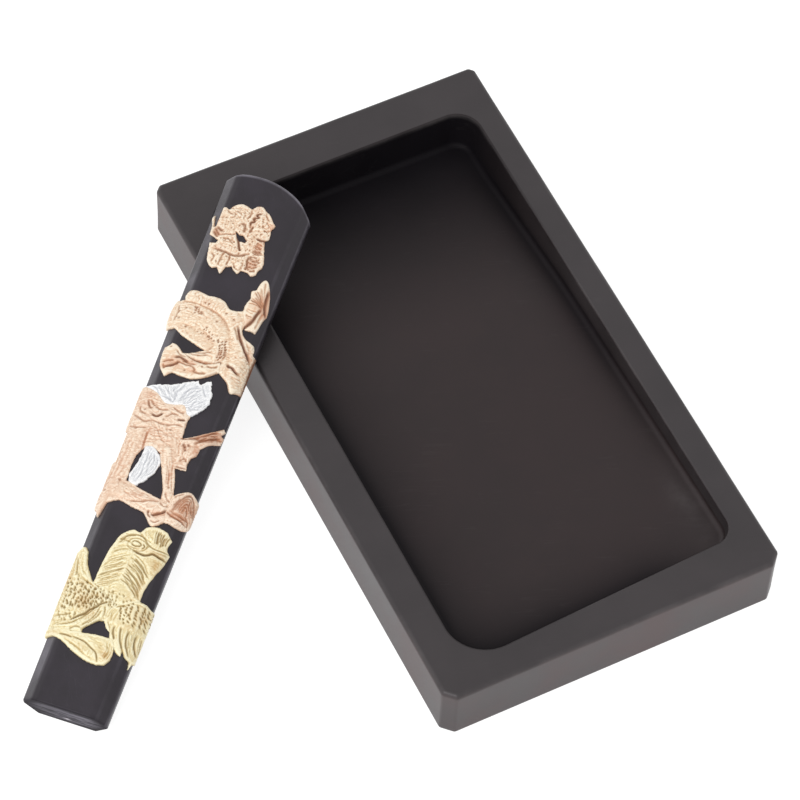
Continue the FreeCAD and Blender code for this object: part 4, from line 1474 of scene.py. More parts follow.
# ================ the motifs
def cloud_motifs() -> list[Motif]:
    """Return the scalloped cloud at the head."""
    cloud_outline = (
        (-67, 115, -60, 112), (-53, 123, -38, 131, -18, 126), (-10, 135, 1, 137, 10, 130),
        (21, 124, 30, 113, 38, 104, 33, 93), (36, 82, 35, 72, 29, 67), (37, 42), (42, 27, 44, 14, 39, 3),
        (36, -8, 27, -12, 19, -8, 6, -7), (1, -15, -8, -11, -15, -4), (-25, -9),
        (-28, -22, -33, -26, -41, -15), (-52, -18, -63, -9, -68, 8), (-73, 34), (-61, 35), (-59, 41),
        (-79, 52), (-82, 74, -88, 89, -85, 100), (-77, 70), (-73, 71), (-73, 115))
    cloud_hole = ((-22, 65, -15, 65, -6, 57), (-7, 52), (-19, 53), (-26, 60, -31, 69))
    cloud_carved = (
        Swells(((-42, 102, 20, 20, 0.22), (12, 104, 19, 22, 0.24), (-39, 38, 22, 11, 0.2),
            (-1, 44, 11, 12, 0.15), (-46, 5, 16, 16, 0.2), (0, 5, 10, 12, 0.2), (26, 10, 12, 16, 0.15),
            (20, 79, 12, 10, 0.12))),
        Cuts(0.42, 0.2, ((-26, 60, -19, 49, -12, 35, -9, 34),
            (4, 121, -4, 116, 1, 111, -7, 107, -4, 101, -10, 97, -9, 90), (13, 67, 22, 66, 30, 67))),
        Cuts(0.32, 0.22, ((-3, 90, -4, 84, -5, 76), (-26, 89, -20, 89, -17, 82, -17, 74),
            (-58, 22, -46, 22, -34, 21, -20, 19, -12, 21, -4, 24, 8, 31), (-72, 67, -66, 59, -60, 53),
            (-73, 60, -67, 53, -62, 48), (-69, 70, -63, 66, -57, 62), (12, 26, 11, 16, 14, 6, 13, -3))),
        Cuts(0.22, 0.17, ((-58, 54, -48, 59, -36, 61, -31, 66), (-47, 108, -44, 102, -47, 96),
            (-13, 4, -8, -5, 2, -7, 5, 6, 1, 9), (-62, 109, -56, 104, -51, 104), (-39, 20, -40, 6, -41, -10),
            (-26, 19, -24, 6, -26, -6), (-17, 123, -16, 112, -20, 102), (12, 126, 15, 118, 24, 110),
            (-60, 12, -54, 4, -56, -7), (32, 91, 25, 87, 20, 89), (-52, 49, -40, 50, -30, 44))),
        Strands((14, 62, 22, 59, 30, 61), (14, 35, 23, 33, 35, 36), 7, 0.26, 0.14, 0.08),
        Scales((14, 26, 23, 28, 33, 25), (14, 1, 24, -3, 33, 1), 5, 5, (0.24, 0.18), 40.0, 0.26),
        Pits((-38, 17, -30, 13, -37, 3, -46, -4, -36, 47, -48, 88, -34, 102, -39, 112, 12, 106, 9, 94,
            19, 80, -28, 112, -56, 78, -65, 92, 6, 70), 0.17, 0.16),
        Strands((-58, 96, -44, 90, -30, 94), (-56, 120, -38, 124, -22, 118), 7, 0.13, 0.11, 0.3),
        Strands((-54, 28, -38, 34, -22, 30), (-52, 50, -36, 56, -22, 50), 6, 0.12, 0.11, 0.3),
        Strands((14, 82, 24, 86, 32, 80), (8, 124, 20, 120, 34, 106), 8, 0.12, 0.11, 0.3),
        Scales((-60, 110, -10, 120, 30, 106), (-60, -4, -10, 0, 30, 0), 12, 9, (0.16, 0.11), 90.0, 0.24,
            0.5),
        Chasing(0.1, 0.46, seed=11),
        Flushes(((23, 50, 8, 16, 0.9), (22, 12, 11, 13, 0.9), (-66, 58, 9, 10, 0.9), (33, 100, 5, 9, 0.7),
            (0, 60, 60, 80, 0.22), (-6, 98, 6, 20, 0.5), (-70, 90, 5, 18, 0.4), (-52, 24, 16, 5, 0.4))),
    )
    return [
        Motif("relief_cloud", "cloud_gilding", Gilt.ROSE, 960, cloud_outline, cloud_carved, level=0.5,
              hole=cloud_hole),
    ]


def tail_motifs() -> list[Motif]:
    """Return the beast's tail fan, its claw and its coiled body."""
    fan_outline = (
        (39, 46, 44, 62), (41, 77, 49, 83), (52, 99, 59, 109, 67, 103, 74, 87, 81, 58, 83, 40), (79, 26),
        (75, -4), (66, -4, 56, -5), (53, 4, 40, 32))
    fan_carved = (
        Swells(((60, 85, 10, 22, 0.2), (69, 13, 8, 14, 0.25), (52, 28, 8, 14, 0.15))),
        Strands((71, 49, 56, 52, 42, 50), (72, 56, 64, 76, 56, 98), 8, 0.28, 0.16, 0.05),
        Strands((69, 43, 56, 39, 43, 43), (60, 16, 52, 16, 47, 21), 4, 0.2, 0.15, 0.05),
        Cuts(0.42, 0.26, ((70, 48, 66, 34, 63, 18, 57, 4, 52, -1), (71, 86, 72, 70, 74, 54, 79, 38))),
        Cuts(0.2, 0.16, ((74, 42, 72, 24, 71, 4), (61, 102, 63, 88, 68, 70), (52, -1, 58, 0))),
        Chasing(0.06, 0.45, 70.0, 2.5, 21),
        Flushes(((76, 46, 10, 22, 1.0), (62, 58, 16, 16, 0.8), (74, 76, 7, 22, 0.8), (56, 12, 8, 16, 0.6))),
    )
    claw_outline = (
        (40, 24), (22, 9, 6, 0, -14, -6, -45, -4), (-58, -15), (-72, 3, -77, 26, -77, 45),
        (-70, 51, -66, 58), (-54, 54, -39, 41), (-12, 32, 12, 33, 36, 44))
    claw_carved = (
        Swells(((6, 19, 32, 9, 0.3), (-64, 39, 9, 12, 0.25), (-58, -3, 8, 7, 0.12), (-42, 40, 10, 5, 0.1))),
        Cuts(0.4, 0.22, ((-63, 4, -54, 9, -46, 15, -40, 22), (-50, 29, -42, 32, -34, 30, -24, 26))),
        Cuts(0.26, 0.18, ((-42, 22, -28, 20, -14, 20, -6, 16), (-69, 14, -60, 19, -52, 22),
            (-34, 26, -22, 24, -8, 25), (-62, 0, -67, 9), (-52, 43, -44, 37, -32, 36),
            (14, 29, 26, 30, 34, 36), (-9, 11, 4, 10, 18, 14))),
        Pits((-6, 14, -64, 48, -24, 8, 6, 25), 0.2, 0.2),
        Chasing(0.08, 0.55, 10.0, 1.8, 31),
        Flushes(((-48, 16, 18, 11, 0.9), (-26, 28, 22, 6, 0.8), (-8, 13, 14, 6, 0.6), (-66, 6, 7, 10, 0.5))),
    )
    coil_outline = (
        (-73, 133, -60, 137, -33, 133), (-18, 135, 0, 131, 16, 118, 40, 122), (53, 94),
        (54, 80, 64, 68, 80, 63, 84, 54), (84, 46), (SIDE, 42), (SIDE, -36), (86, -40, 73, -48, 66, -40),
        (59, -30, 40, -16), (36, 4), (12, -7, -12, -8, -39, 1), (-22, 9, -4, 20),
        (-30, 28, -56, 37, -76, 51), (-SIDE, 46), (-SIDE, 114), (-75, 114), (-77, 121))
    coil_carved = (
        Roll((-89, 82, -59, 84, -25, 83, 8, 67, 27, 39, 18, 16, -4, 6, -34, 2), (2.9, 0.9), 0.42),
        Roll((-62, 120, -34, 120, -4, 116, 23, 102, 42, 76, 58, 43, 71, 4, 75, -29), (1.4, 2.0), 0.4),
        Roll((59, 80, 67, 70, 77, 60, 82, 44), (0.8, 0.7), 0.3, 0.45),
        Cuts(0.44, 0.26, ((43, 86, 50, 72, 58, 59, 66, 48, 74, 38, 81, 29),
            (50, 5, 54, 2, 60, 1, 66, -4, 72, -7), (-40, -1, -14, -8, 12, -7, 29, -1, 37, 6))),
        Cuts(0.24, 0.2, ((37, 83, 46, 70, 52, 59), (-32, 4, -12, 5, 8, 12), (-24, 9, -6, 12, 12, 20),
            (37, 13, 39, 24, 34, 38), (-79, 99, -76, 84, -78, 66))),
        Cuts(0.15, 0.13, ((-77, 106, -60, 109, -32, 107, -6, 102, 15, 90, 32, 70),)),
        Scales((14, 49, 26, 30, 25, 8), (30, 50, 36, 28, 33, 11), 3, 8, (0.24, 0.12), 65.0, 0.34, 0.12),
        Scales((-30, 56, 4, 44), (-24, 64, 12, 54), 2, 5, (0.2, 0.1), 60.0, 0.28, 0.25),
        Scales((-52, 101, -40, 99), (-48, 88, -28, 91), 3, 3, (0.24, 0.17), 50.0, 0.24),
        Pits((-4, 50, 8, 44, 2, 48, -47, 100, -35, 115, -27, 115, 12, 106, -74, 86, -71, 71, 0, 84, -64, 94,
            30, 98, -14, 66, -54, 56), 0.19, 0.24),
        Strands((44, 70, 36, 59, 26, 54), (66, 10, 54, 9, 42, 14), 14, 0.1, 0.11, 0.14),
        Strands((78, 20, 66, 16, 54, 14), (84, -26, 74, -32, 66, -28), 8, 0.1, 0.12, 0.14),
        Strands((-82, 60, -54, 54, -20, 44), (-82, 110, -50, 114, -10, 108), 10, 0.06, 0.12, 0.3),
        Strands((-64, 132, -58, 120, -56, 110), (12, 119, 8, 110, 2, 102), 12, 0.08, 0.12, 0.2),
        # A wide dark furrow down the right flank, where the coil wraps over the side: painted dark shade.
        Cuts(0.42, 0.45, ((93, 46, 92, 4, 92, -46),)),
        Chasing(0.09, 0.4, 20.0, 1.5, 41),
        Flushes(((76, 38, 8, 12, 0.8), (96, 2, 10, 44, 1.0), (56, 66, 6, 16, 0.6), (-31, 116, 12, 6, 0.5),
            (-98, 84, 8, 30, 0.4), (30, 22, 8, 18, 0.5), (62, -1, 12, 5, 0.5), (4, -5, 36, 4, 0.7),
            (-42, 94, 12, 7, 0.3))),
    )
    return [
        Motif("relief_tail_fan", "tail_fan_gilding", Gilt.ROSE, 840, fan_outline, fan_carved, level=0.6),
        Motif("relief_claw", "claw_gilding", Gilt.ROSE, 710, claw_outline, claw_carved, level=0.58),
        Motif("relief_coil", "coil_gilding", Gilt.ROSE, 750, coil_outline, coil_carved, level=0.5),
    ]


def torso_motifs() -> list[Motif]:
    """Return the copper torso and folded foot with the two silver manes."""
    upper_outline = (
        (-70, 34, -56, 38), (-34, 45, -14, 56, 10, 68), (16, 60), (24, 69, 35, 75),
        (39, 63, 45, 46, 47, 30, 43, 13, 32, 0, 20, -10), (12, -8), (1, 8, -18, 4, -36, 2, -56, 17),
        (-85, 30))
    upper_carved = (
        Swells(((16, 31, 26, 28, 0.2), (-43, 25, 24, 14, 0.15))),
        Strands((-24, 8, -41, 12, -59, 21, -75, 29), (-16, 14, -20, 31, -13, 43, -4, 59), 16, 0.12, 0.1,
            0.24),
        Strands((-17, 16, -7, 36, 6, 52, 16, 59), (9, -2, 20, 2, 32, 10, 44, 24), 26, 0.12, 0.1, 0.26),
        Cuts(0.16, 0.14, ((-22, 7, -21, 21, -29, 34, -25, 44), (20, 59, 26, 48, 34, 38))),
        Chasing(0.07, 0.3, 60.0, 2.0, 51),
    )
    foot_outline = ((60, 69, 74, 76, 87, 68), (94, 64), (95, 16), (86, 2, 72, -3, 48, -1), (44, 24, 46, 56))
    foot_carved = (
        Swells(((68, 46, 14, 18, 0.15), (65, 9, 20, 5, 0.2))),
        Cuts(0.27, 0.17, ((54, 25, 59, 46, 67, 62, 74, 68, 81, 60, 86, 46, 88, 32),
            (46, 21, 52, 17, 62, 14, 72, 13, 82, 10))),
        Cuts(0.22, 0.14, ((62, 32, 66, 48, 72, 57, 78, 49, 83, 37), (55, 23, 70, 21, 83, 20),
            (58, 30, 63, 48, 70, 60, 75, 61, 81, 51, 85, 36))),
        Cuts(0.22, 0.12, ((69, 30, 71, 43, 75, 38, 77, 29), (76, 27, 83, 19, 84, 9),
            (65, 30, 69, 46, 73, 50, 78, 40), (50, 54, 55, 59, 62, 66), (53, 36, 56, 44, 60, 54))),
        Strands((49, 4, 56, 3, 64, 2), (50, 28, 66, 26, 86, 24), 6, 0.1, 0.11, 0.1),
        Chasing(0.09, 0.34, 80.0, 2.0, 61),
        Flushes(((71, 41, 17, 24, 1.0), (66, 18, 18, 6, 0.7), (93, 40, 5, 26, 0.8))),
    )
    torso_outline = (
        (-86, 150), (1, 142), (20, 110), (19, 90, 22, 63), (44, 76, 66, 93, 84, 114), (89, 109), (84, 98),
        (90, 96), (89, 81), (74, 69, 61, 52), (59, 36), (51, 26, 50, 12, 52, 1), (30, 0), (40, -28, 46, -54),
        (48, -111), (39, -121, 26, -126, 14, -115, 3, -104), (-23, -100, -49, -94), (-70, -105), (-78, -138),
        (-83, -122), (-SIDE, -114), (-SIDE, -14), (-86, -14), (-86, 50), (-SIDE, 58), (-SIDE, 160))
    torso_hole = (
        (-51, -24, -50, -52), (-26, -58, 25, -68), (22, -50, 12, -26, 0, 2), (-9, 21), (-26, 29, -40, 26),
        (-50, 2))
    torso_carved = (
        Swells(((-30, 96, 34, 20, 0.2), (4, 94, 12, 16, 0.15), (-10, 56, 30, 14, 0.12),
            (37, 36, 16, 16, 0.2), (-64, 74, 16, 16, 0.15))),
        Roll((-68, 66, -67, 24, -68, -26, -73, -64, -80, -93, -79, -125), (1.7, 0.9), 0.42),
        Roll((-70, -72, -33, -77, 5, -85, 34, -86), (1.7, 1.4), 0.4),
        Roll((3, 30, 14, 2, 25, -29, 35, -60), (0.9, 1.1), 0.42),
        Roll((28, 55, 49, 67, 70, 84, 86, 102), (1.2, 0.9), 0.42),
        Roll((14, -108, 27, -115, 43, -106), (0.9, 0.9), 0.35),
        Cuts(0.4, 0.19, ((-52, 92, -42, 90, -36, 94, -32, 99),
            (20, -105, 26, -102, 31, -99, 39, -94, 45, -88), (0, 96, 6, 97, 13, 99))),
        Cuts(0.3, 0.17, ((-67, 119, -64, 112, -59, 105, -54, 104), (34, 64, 46, 71, 62, 84, 76, 99),
            (12, -98, 14, -106, 20, -110), (30, 4, 39, 4, 50, 5), (52, 64, 66, 76, 82, 90),
            (20, 61, 30, 63, 39, 70, 52, 72), (48, 67, 56, 70, 63, 79))),
        Cuts(0.2, 0.16, ((-46, 54, -45, 34, -43, 12), (-62, 122, -56, 113, -50, 109))),
        Cuts(0.22, 0.17, ((-28, -90, -10, -86, 8, -78, 24, -74), (-49, 109, -38, 106, -24, 110),
            (-47, 80, -20, 79, 1, 85, 16, 85), (-82, 87, -61, 74, -49, 78), (-24, 94, -14, 104, -3, 106),
            (-78, 106, -72, 94, -60, 88), (-16, 118, -4, 113, 6, 112), (30, -54, 36, -64, 45, -70),
            (27, -76, 36, -81, 45, -79), (22, -116, 31, -117, 40, -110), (-83, 62, -68, 58, -52, 62),
            (32, 16, 40, 24, 46, 18))),
        Strands((-40, 34, -18, 40, 6, 40), (-42, 78, -16, 80, 14, 84), 9, 0.08, 0.12, 0.35),
        Strands((-50, 80, -34, 60, -10, 44), (-10, 84, 4, 70, 16, 56), 9, 0.08, 0.12, 0.3),
        Strands((9, 64, 16, 44, 18, 22), (46, 54, 45, 34, 46, 10), 8, 0.1, 0.12, 0.3),
        Strands((-83, 50, -82, -2, -87, -61), (-56, 48, -54, -8, -58, -54), 6, 0.07, 0.14, 0.35),
        Strands((-60, -60, -26, -66, 18, -71), (-56, -92, -20, -95, 12, -98), 6, 0.07, 0.14, 0.25),
        Strands((5, 22, 16, -11, 27, -48), (22, 6, 32, -21, 42, -52), 5, 0.15, 0.12, 0.1),
        Strands((34, 69, 63, 88, 80, 106), (49, 57, 70, 74, 87, 88), 7, 0.22, 0.13),
        Strands((-82, 138, -56, 134, -34, 124), (-74, 92, -50, 84, -26, 90), 8, 0.09, 0.12, 0.25),
        Strands((-26, 118, -6, 118, 12, 110), (-24, 92, -4, 90, 14, 88), 6, 0.09, 0.12, 0.25),
        Pits((31, 48, 35, 41, 38, 52, 33, 46, 28, 50), 0.24, 0.26),
        Pits((-68, 56, 33, -42, -61, -54, -80, -78, -66, 98, -6, 72, -26, 88), 0.2, 0.2),
        Chasing(0.09, 0.42, 15.0, 1.6, 71),
        Flushes(((58, 76, 18, 12, 1.2), (76, 92, 15, 10, 1.1), (55, 46, 5, 12, 1.0), (32, 45, 9, 8, 0.6),
            (-68, -25, 12, 50, 0.3), (25, -24, 6, 28, 0.6), (-18, -78, 28, 7, 0.3), (32, -98, 14, 6, 0.8),
            (-45, 34, 4, 26, 0.8), (-89, -74, 9, 30, 0.4), (-60, 113, 12, 9, 0.5), (-64, 134, 14, 7, 0.5),
            (-20, 56, 26, 10, 0.25), (40, 20, 8, 14, 0.3))),
    )
    lower_outline = (
        (-26, 89, -9, 78), (-1, 62, -2, 42, -12, 22, -30, 3, -46, 8), (-49, 24, -44, 50, -40, 86))
    lower_carved = (
        Swells(((-24, 48, 18, 30, 0.22),)),
        Strands((-37, 86, -43, 47, -44, 12), (-9, 78, -4, 51, -22, 14), 17, 0.13, 0.1, 0.24),
        Chasing(0.07, 0.3, 90.0, 2.0, 81),
    )
    return [
        Motif("mane_upper_silver", "upper_mane_gilding", Gilt.SILVER, 640, upper_outline, upper_carved,
              ragged=0.2),
        Motif("relief_fan_foot", "folded_foot_gilding", Gilt.COPPER, 410, foot_outline, foot_carved,
              level=0.6),
        Motif("relief_torso", "torso_gilding", Gilt.COPPER, 520, torso_outline, torso_carved, level=0.56,
              hole=torso_hole),
        Motif("mane_lower_silver", "lower_mane_gilding", Gilt.SILVER, 460, lower_outline, lower_carved,
              level=0.5, ragged=0.14),
    ]


def gold_motifs() -> list[Motif]:
    """Return the gold beast: crested head and mane, club-shaped foot, wing and scaled body."""
    head_outline = (
        (-35, -16, -32, 20, -25, 49), (-20, 62, -9, 73, 0, 78, 13, 76), (22, 90, 42, 96, 62, 92), (73, 80),
        (70, 62, 78, 52), (74, 28, 68, 4, 61, -28, 60, -56), (26, -74, -10, -60, -36, -48))
    head_carved = (
        Swells(((44, 76, 24, 13, 0.2), (14, 51.5, 8, 4, 0.16), (56, 47, 18, 6, 0.2), (6, -4, 14, 40, 0.22),
            (56, 16, 14, 18, 0.18))),
        Strands((42, 90, 43, 76, 47, 60), (70, 82, 67, 73, 67, 60), 8, 0.34, 0.12, 0.04),
        Strands((19, 83, 24, 74, 33, 66), (40, 89, 40, 78, 43, 66), 7, 0.12, 0.12, 0.1),
        Strands((10, 69, -6, 64, -20, 55), (4, 54, -8, 49, -22, 42), 5, 0.13, 0.12, 0.1),
        Cuts(0.4, 0.2, ((14, 37, 24, 35, 36, 34, 44, 37, 51, 41, 62, 39, 74, 38),)),
        Cuts(0.28, 0.13, ((-16, 46, -8, 61, 8, 69, 24, 67, 36, 57, 52, 51, 74, 53),
            (5, 51, 9, 56, 18, 56, 24, 51, 17, 47, 9, 47, 5, 51), (27, 55, 31, 50, 28, 45))),
        Cuts(0.2, 0.12, ((-3, 49, 3, 59, 16, 63, 30, 59, 36, 50, 29, 41, 14, 38, 2, 41, -3, 49),)),
        Cuts(0.18, 0.15, ((14, 74, 26, 67, 40, 62), (-19, 52, -6, 53, 4, 50), (34, 50, 38, 52, 36, 55),
            (-12, 66, -2, 65, 8, 67), (48, 47, 60, 46, 72, 48), (2, 43, 12, 42, 22, 42))),
        Strands((15, 34, -3, 25, -20, 14, -34, -2), (10, -32, -6, -44, -21, -54, -34, -61), 15, 0.2, 0.13,
            0.08),
        Strands((12, 30, -4, 20, -20, 8), (9, -24, -6, -36, -20, -48), 13, 0.09, 0.1),
        Strands((5, 43, -8, 42, -22, 36), (11, 38, -9, 28, -29, 12), 4, 0.16, 0.13, 0.06),
        Strands((16, 33, 32, 26, 46, 15, 56, 2), (12, -26, 28, -34, 44, -46, 56, -61), 13, 0.22, 0.14, 0.08),
        Strands((20, 28, 34, 21, 46, 10), (18, -24, 32, -34, 46, -48), 12, 0.12, 0.1, 0.1),
        Strands((10, -31, 0, -39, -9, -47), (16, -58, 10, -62, 4, -66), 4, 0.14, 0.12, 0.1),
        Scales((-32, -51, -12, -56, 14, -54), (-22, -60, 2, -68, 22, -68), 3, 6, (0.26, 0.14), 110.0, 0.24),
        Scales((20, -54, 34, -54), (26, -68, 46, -60), 2, 3, (0.24, 0.13), 120.0, 0.22),
        Strands((54, 31, 62, 30, 70, 26), (57, 4, 61, 2, 65, 0), 5, 0.07, 0.12, 0.1),
        Chasing(0.06, 0.36, seed=91),
        Flushes(((57, 74, 9, 13, 0.5), (63, 20, 9, 16, 0.8), (54, 44, 22, 5, 0.7), (48, -20, 9, 38, 0.4),
            (56, -46, 5, 10, 0.5), (24, 43, 12, 4, 0.3))),
    )
    foot_outline = (
        (-70, 21), (-52, 15, -24, 1, 4, -9, 28, -11), (44, -4, 50, 14, 46, 36), (36, 46, 10, 47, -22, 42),
        (-60, 38, -SIDE, 36), (-SIDE, 16))
    foot_carved = (
        Swells(((4, 32, 26, 8, 0.14), (8, 6, 32, 8, 0.14), (36, 18, 9, 16, 0.12))),
        Cuts(0.3, 0.14, ((-58, 27, -46, 28, -35, 27), (-33, 29, -10, 26, 5, 19, 19, 11, 27, -4),
            (-42, 39, -35, 44, -26, 43))),
        Strands((-56, 24, -30, 16, -6, 6), (-34, 16, -6, 4, 20, -4), 5, 0.08, 0.12, 0.15),
        Strands((30, 40, 35, 23, 31, 2), (43, 37, 47, 19, 42, 2), 5, 0.16, 0.12, 0.08),
        Strands((-9, 39, 8, 41, 24, 40), (-4, 30, 14, 26, 30, 20), 6, 0.09, 0.12),
        Strands((-24, 24, -18, 16, -16, 6), (22, 10, 20, 2, 16, -4), 4, 0.1, 0.12, 0.1),
        Chasing(0.05, 0.5, 160.0, 1.8, 101),
        Flushes(((36, 11, 7, 10, 0.9), (-74, 28, 14, 7, 0.4), (46, 14, 5, 16, 0.4))),
    )
    wing_outline = (
        (12, 60, 26, 76), (60, 94), (72, 95, 81, 91), (SIDE, 90), (SIDE, -16), (84, -21), (81, -38),
        (78, -21), (69, -17, 62, -6), (64, -21), (52, -15, 43, 0, 31, 9), (28, 18), (19, 24, 10, 37))
    wing_carved = (
        Swells(((59, 64, 30, 22, 0.22), (34, 34, 14, 16, 0.1))),
        Cuts(0.32, 0.15, ((46, 34, 48, 22, 53, 8, 61, -6), (61, 32, 61, 18, 65, 4, 72, -11),
            (74, 30, 75, 18, 79, 6, 84, -4), (33, 32, 35, 20, 41, 8))),
        Strands((16, 38, 22, 30, 29, 18), (41, 38, 43, 24, 49, 4), 10, 0.13, 0.1, 0.06),
        Strands((47, 39, 49, 24, 56, -6), (86, 36, 87, 18, 90, -6), 17, 0.15, 0.1, 0.05),
        Scales((34, 84, 33, 64, 40, 44), (89, 90, 89, 70, 88, 44), 7, 7, (0.28, 0.14), 125.0, 0.34, 0.2),
        Scales((38, 76, 38, 58), (86, 80, 86, 54), 5, 4, (0.2, 0.1), 110.0, 0.2, 0.3),
        Strands((30, 76, 53, 87, 74, 89), (20, 66, 26, 71, 33, 74), 3, 0.16, 0.14, 0.1),
        Strands((13, 44, 15, 59, 23, 73), (29, 39, 30, 54, 32, 68), 5, 0.12, 0.13, 0.1),
        Chasing(0.05, 0.4, 80.0, 2.2, 111),
        Flushes(((68, 66, 20, 18, 0.6), (84, 5, 8, 20, 0.4), (54, 39, 16, 5, 0.3), (96, 44, 6, 50, 0.9))),
    )
    body_outline = (
        (-86, 152), (-77, 161, -67, 150, -58, 124, -36, 92), (26, 80), (28, 68), (10, 27), (-2, 20, -22, -1),
        (-22, -8), (-60, -18, -SIDE, -20), (-SIDE, 156))
    body_carved = (
        Roll((-79, 154, -74, 132, -63, 101, -46, 71), (0.9, 2.0), 0.34),
        Roll((6, 46, -14, 24, -35, 4, -61, -10), (1.2, 1.5), 0.36),
        Swells(((-42, 51, 30, 26, 0.22), (2, 69, 18, 12, 0.2))),
        Cuts(0.36, 0.18, ((5, 64, -8, 55, -12, 48, -22, 39, -28, 29, -40, 19, -49, 9),)),
        Cuts(0.24, 0.14, ((-6, 50, -7, 38, -13, 22, -26, 4), (-14, 49, -19, 36, -30, 20, -44, 6))),
        Cuts(0.22, 0.17, ((0, 44, -5, 29, -17, 11), (-68, -6, -54, -1, -40, 9), (-79, 15, -65, 16, -52, 21),
            (-80, 136, -74, 116, -69, 99), (3, 54, 6, 44, 7, 34), (-46, -10, -36, -1, -26, 0))),
        Strands((-86, 146, -83, 119, -76, 93), (-72, 149, -63, 120, -50, 99), 5, 0.12),
        Scales((-84, 94, -76, 60, -72, 28), (2, 82, -4, 64, -19, 46), 10, 8, (0.28, 0.15), 115.0, 0.32,
            0.24),
        Scales((-76, 86, -66, 36), (-14, 74, -26, 44), 8, 5, (0.2, 0.1), 100.0, 0.22, 0.34),
        Scales((-78, 24, -64, 2), (-44, 26, -46, 14), 4, 4, (0.24, 0.12), 120.0, 0.2, 0.22),
        Scales((-4, 80, 5, 59), (24, 74, 20, 56), 5, 4, (0.26, 0.13), 120.0, 0.26, 0.16),
        Strands((4, 46, -9, 28, -24, 12), (-18, 42, -30, 24, -46, 8), 5, 0.1, 0.11, 0.1),
        Strands((-78, 6, -64, 6, -48, 12), (-84, -12, -62, -11, -34, -4), 5, 0.12, 0.12),
        Strands((-46, 94, -34, 86, -24, 84), (-72, 102, -60, 94, -50, 90), 5, 0.12, 0.14, 0.1),
        Chasing(0.09, 0.36, 120.0, 1.6, 121),
        Flushes(((-40, 52, 18, 18, 0.8), (-19, 33, 14, 12, 0.5), (-86, 91, 10, 28, 0.6),
            (-50, 87, 14, 9, 0.4), (-96, 47, 8, 50, 0.4), (-14, 69, 16, 8, 0.4))),
    )
    return [
        Motif("gold_head_mane", "head_and_mane_gilding", Gilt.GOLD, 300, head_outline, head_carved),
        Motif("gold_club_foot", "club_foot_gilding", Gilt.GOLD, 110, foot_outline, foot_carved, level=0.6),
        Motif("gold_wing", "wing_gilding", Gilt.GOLD, 150, wing_outline, wing_carved, level=0.52),
        Motif("gold_body", "beast_body_gilding", Gilt.GOLD, 160, body_outline, body_carved),
    ]


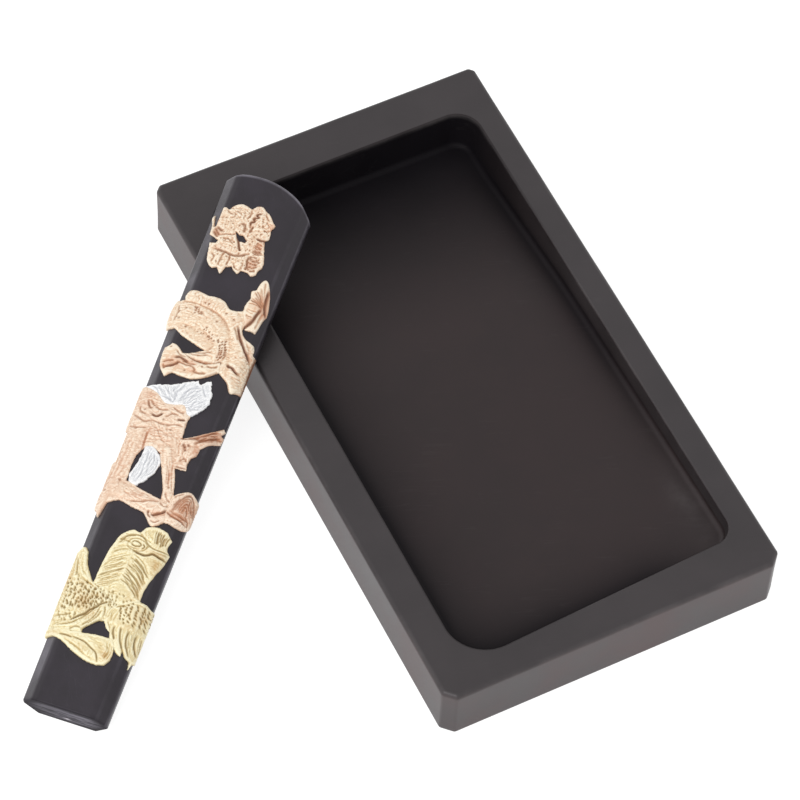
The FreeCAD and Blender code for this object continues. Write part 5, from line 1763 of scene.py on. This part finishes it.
# ================ studio
@dataclass(frozen=True)
class Studio:
    """The plain pale floor, the soft light and the camera. The floor and the lamp are measured in metres."""

    azimuth: float = -29.42
    elevation: float = 57.01
    roll: float = 3.50
    distance: float = 803.3
    shift_right: float = 11.33
    shift_down: float = 1.09
    focal_length: float = 183.1
    sensor: float = 36.0
    clip: Pair = (0.05, 20.0)
    floor_size: float = 4.0
    floor_colour: Colour = (0.86, 0.86, 0.86)
    floor_seen: Colour = (0.42, 0.42, 0.42)
    floor_glow: float = 0.82
    room_strength: float = 0.72
    window_strength: float = 0.9
    window_bearing: Triple = (-0.44, 0.90, 0.02)
    window_edge: Pair = (0.86, 0.98)
    key_strength: float = 5.0
    key_place: Triple = (-0.75, -0.35, 0.85)
    key_size: float = 0.7

    def camera(self) -> None:
        """Set up the camera from its bearing, height, roll, distance and the object's place in its view."""
        azimuth, elevation = math.radians(self.azimuth), math.radians(self.elevation)
        level = math.cos(elevation)
        back = Vector((math.sin(azimuth) * level, -math.cos(azimuth) * level, math.sin(elevation)))
        right = (-back).cross(Vector((0, 0, 1))).normalized()
        roll = Matrix.Rotation(math.radians(self.roll), 3, back)
        right, above = roll @ right, roll @ back.cross(right)
        lens = bpy.data.cameras.new("camera")
        lens.lens, lens.sensor_width, lens.sensor_fit = self.focal_length, self.sensor, "HORIZONTAL"
        lens.clip_start, lens.clip_end = self.clip
        made = link_object("camera", lens)
        place = back * self.distance - right * self.shift_right + above * self.shift_down
        turn = Matrix((right, above, back)).transposed().to_4x4()
        made.matrix_world = Matrix.Translation(place * MM) @ turn
        bpy.context.scene.camera = made

    def floor(self) -> None:
        """Lay the pale floor. Seen straight or mirrored it glows white, and it still takes soft shadows."""
        half = self.floor_size / 2
        mesh = bpy.data.meshes.new("studio_floor")
        corners = [(-half, -half, 0), (half, -half, 0), (half, half, 0), (-half, half, 0)]
        mesh.from_pydata(corners, [], [(0, 1, 2, 3)])
        material, graph = new_material("pale_floor")
        seen, _ = graph.looked_at()
        matt = graph.add("BsdfDiffuse", {"Color": graph.mix(seen, self.floor_colour, self.floor_seen)})
        glow = graph.add("Emission", {"Color": (1, 1, 1, 1), "Strength": graph.times(seen, self.floor_glow)})
        both = graph.add("AddShader", {0: matt.outputs[0], 1: glow.outputs[0]})
        graph.add("OutputMaterial", {"Surface": both.outputs[0]})
        mesh.materials.append(material)
        link_object("studio_floor", mesh)

    def room(self) -> None:
        """Fill the room with even light, white where it is seen, and mirror one soft window at the back."""
        world = bpy.data.worlds.new("studio_room")
        world.use_nodes = True
        graph = Graph(world.node_tree)
        seen, mirrored = graph.looked_at()
        strength = graph.maths("ADD", self.room_strength, graph.times(seen, 1.0 - self.room_strength))
        bearing = graph.add("TexCoord").outputs["Generated"]
        facing = graph.add("VectorMath", {0: bearing, 1: self.window_bearing}, operation="DOT_PRODUCT")
        window = graph.spread(facing.outputs["Value"], *self.window_edge, 0.0, self.window_strength)
        strength = graph.maths("ADD", strength, graph.times(mirrored, window))
        light = graph.add("Background", {"Color": (1, 1, 1, 1), "Strength": strength})
        graph.add("OutputWorld", {"Surface": light.outputs[0]})
        bpy.context.scene.world = world

    def key(self) -> None:
        """Hang one broad soft lamp to the left."""
        lamp = bpy.data.lights.new("key", "AREA")
        lamp.shape, lamp.size, lamp.energy = "DISK", self.key_size, self.key_strength
        place = Vector(self.key_place)
        turn = place.to_track_quat("Z", "Y").to_matrix().to_4x4()
        link_object("key", lamp).matrix_world = Matrix.Translation(place) @ turn

    def build(self) -> None:
        """Set up the whole studio."""
        self.camera()
        self.floor()
        self.room()
        self.key()
        bpy.context.scene.view_settings.view_transform = "Standard"


# ================ assembly
# Each powder: its colour, painted highlight, warm flush, painted side shade and painted dark shade.
GILDING = {
    Gilt.ROSE: GiltFinish("rose_gold_powder", srgb(240, 213, 183), srgb(255, 242, 220), srgb(220, 162, 126),
                          srgb(186, 130, 94), srgb(112, 66, 42)),
    Gilt.COPPER: GiltFinish("copper_powder", srgb(237, 208, 182), srgb(253, 234, 212), srgb(204, 140, 104),
                            srgb(190, 134, 100), srgb(112, 66, 42)),
    Gilt.SILVER: GiltFinish("silver_powder", srgb(226, 227, 229), srgb(254, 254, 254), srgb(222, 222, 226),
                            srgb(194, 195, 201), srgb(158, 160, 168)),
    Gilt.GOLD: GiltFinish("gold_powder", srgb(236, 219, 171), srgb(255, 247, 212), srgb(210, 170, 112),
                          srgb(178, 150, 88), srgb(112, 82, 40)),
}


def main() -> None:
    """Build the studio and every piece of the set, in order."""
    logging.basicConfig(level=logging.INFO, format="%(message)s")
    Studio().build()
    effects = Effects(grain_group(), scuff_group())
    slab, form = StoneSlab(), StickForm()
    lean = Lean(slab, form)
    pieces = [slab.build(StoneFinish().build(effects)),
              InkStick(form, lean).build(InkFinish().build(effects))]
    relief = Relief(form, lean)
    gilding = {gilt: finish.build(effects) for gilt, finish in GILDING.items()}
    for group in (cloud_motifs(), tail_motifs(), torso_motifs(), gold_motifs()):
        for number, motif in enumerate(group):
            pieces.append(relief.build_motif(motif, group[:number], group, gilding[motif.gilt]))
    for piece in pieces:
        LOG.info("%s: %d vertices", piece.name, len(piece.data.vertices))


if __name__ == "__main__":
    main()
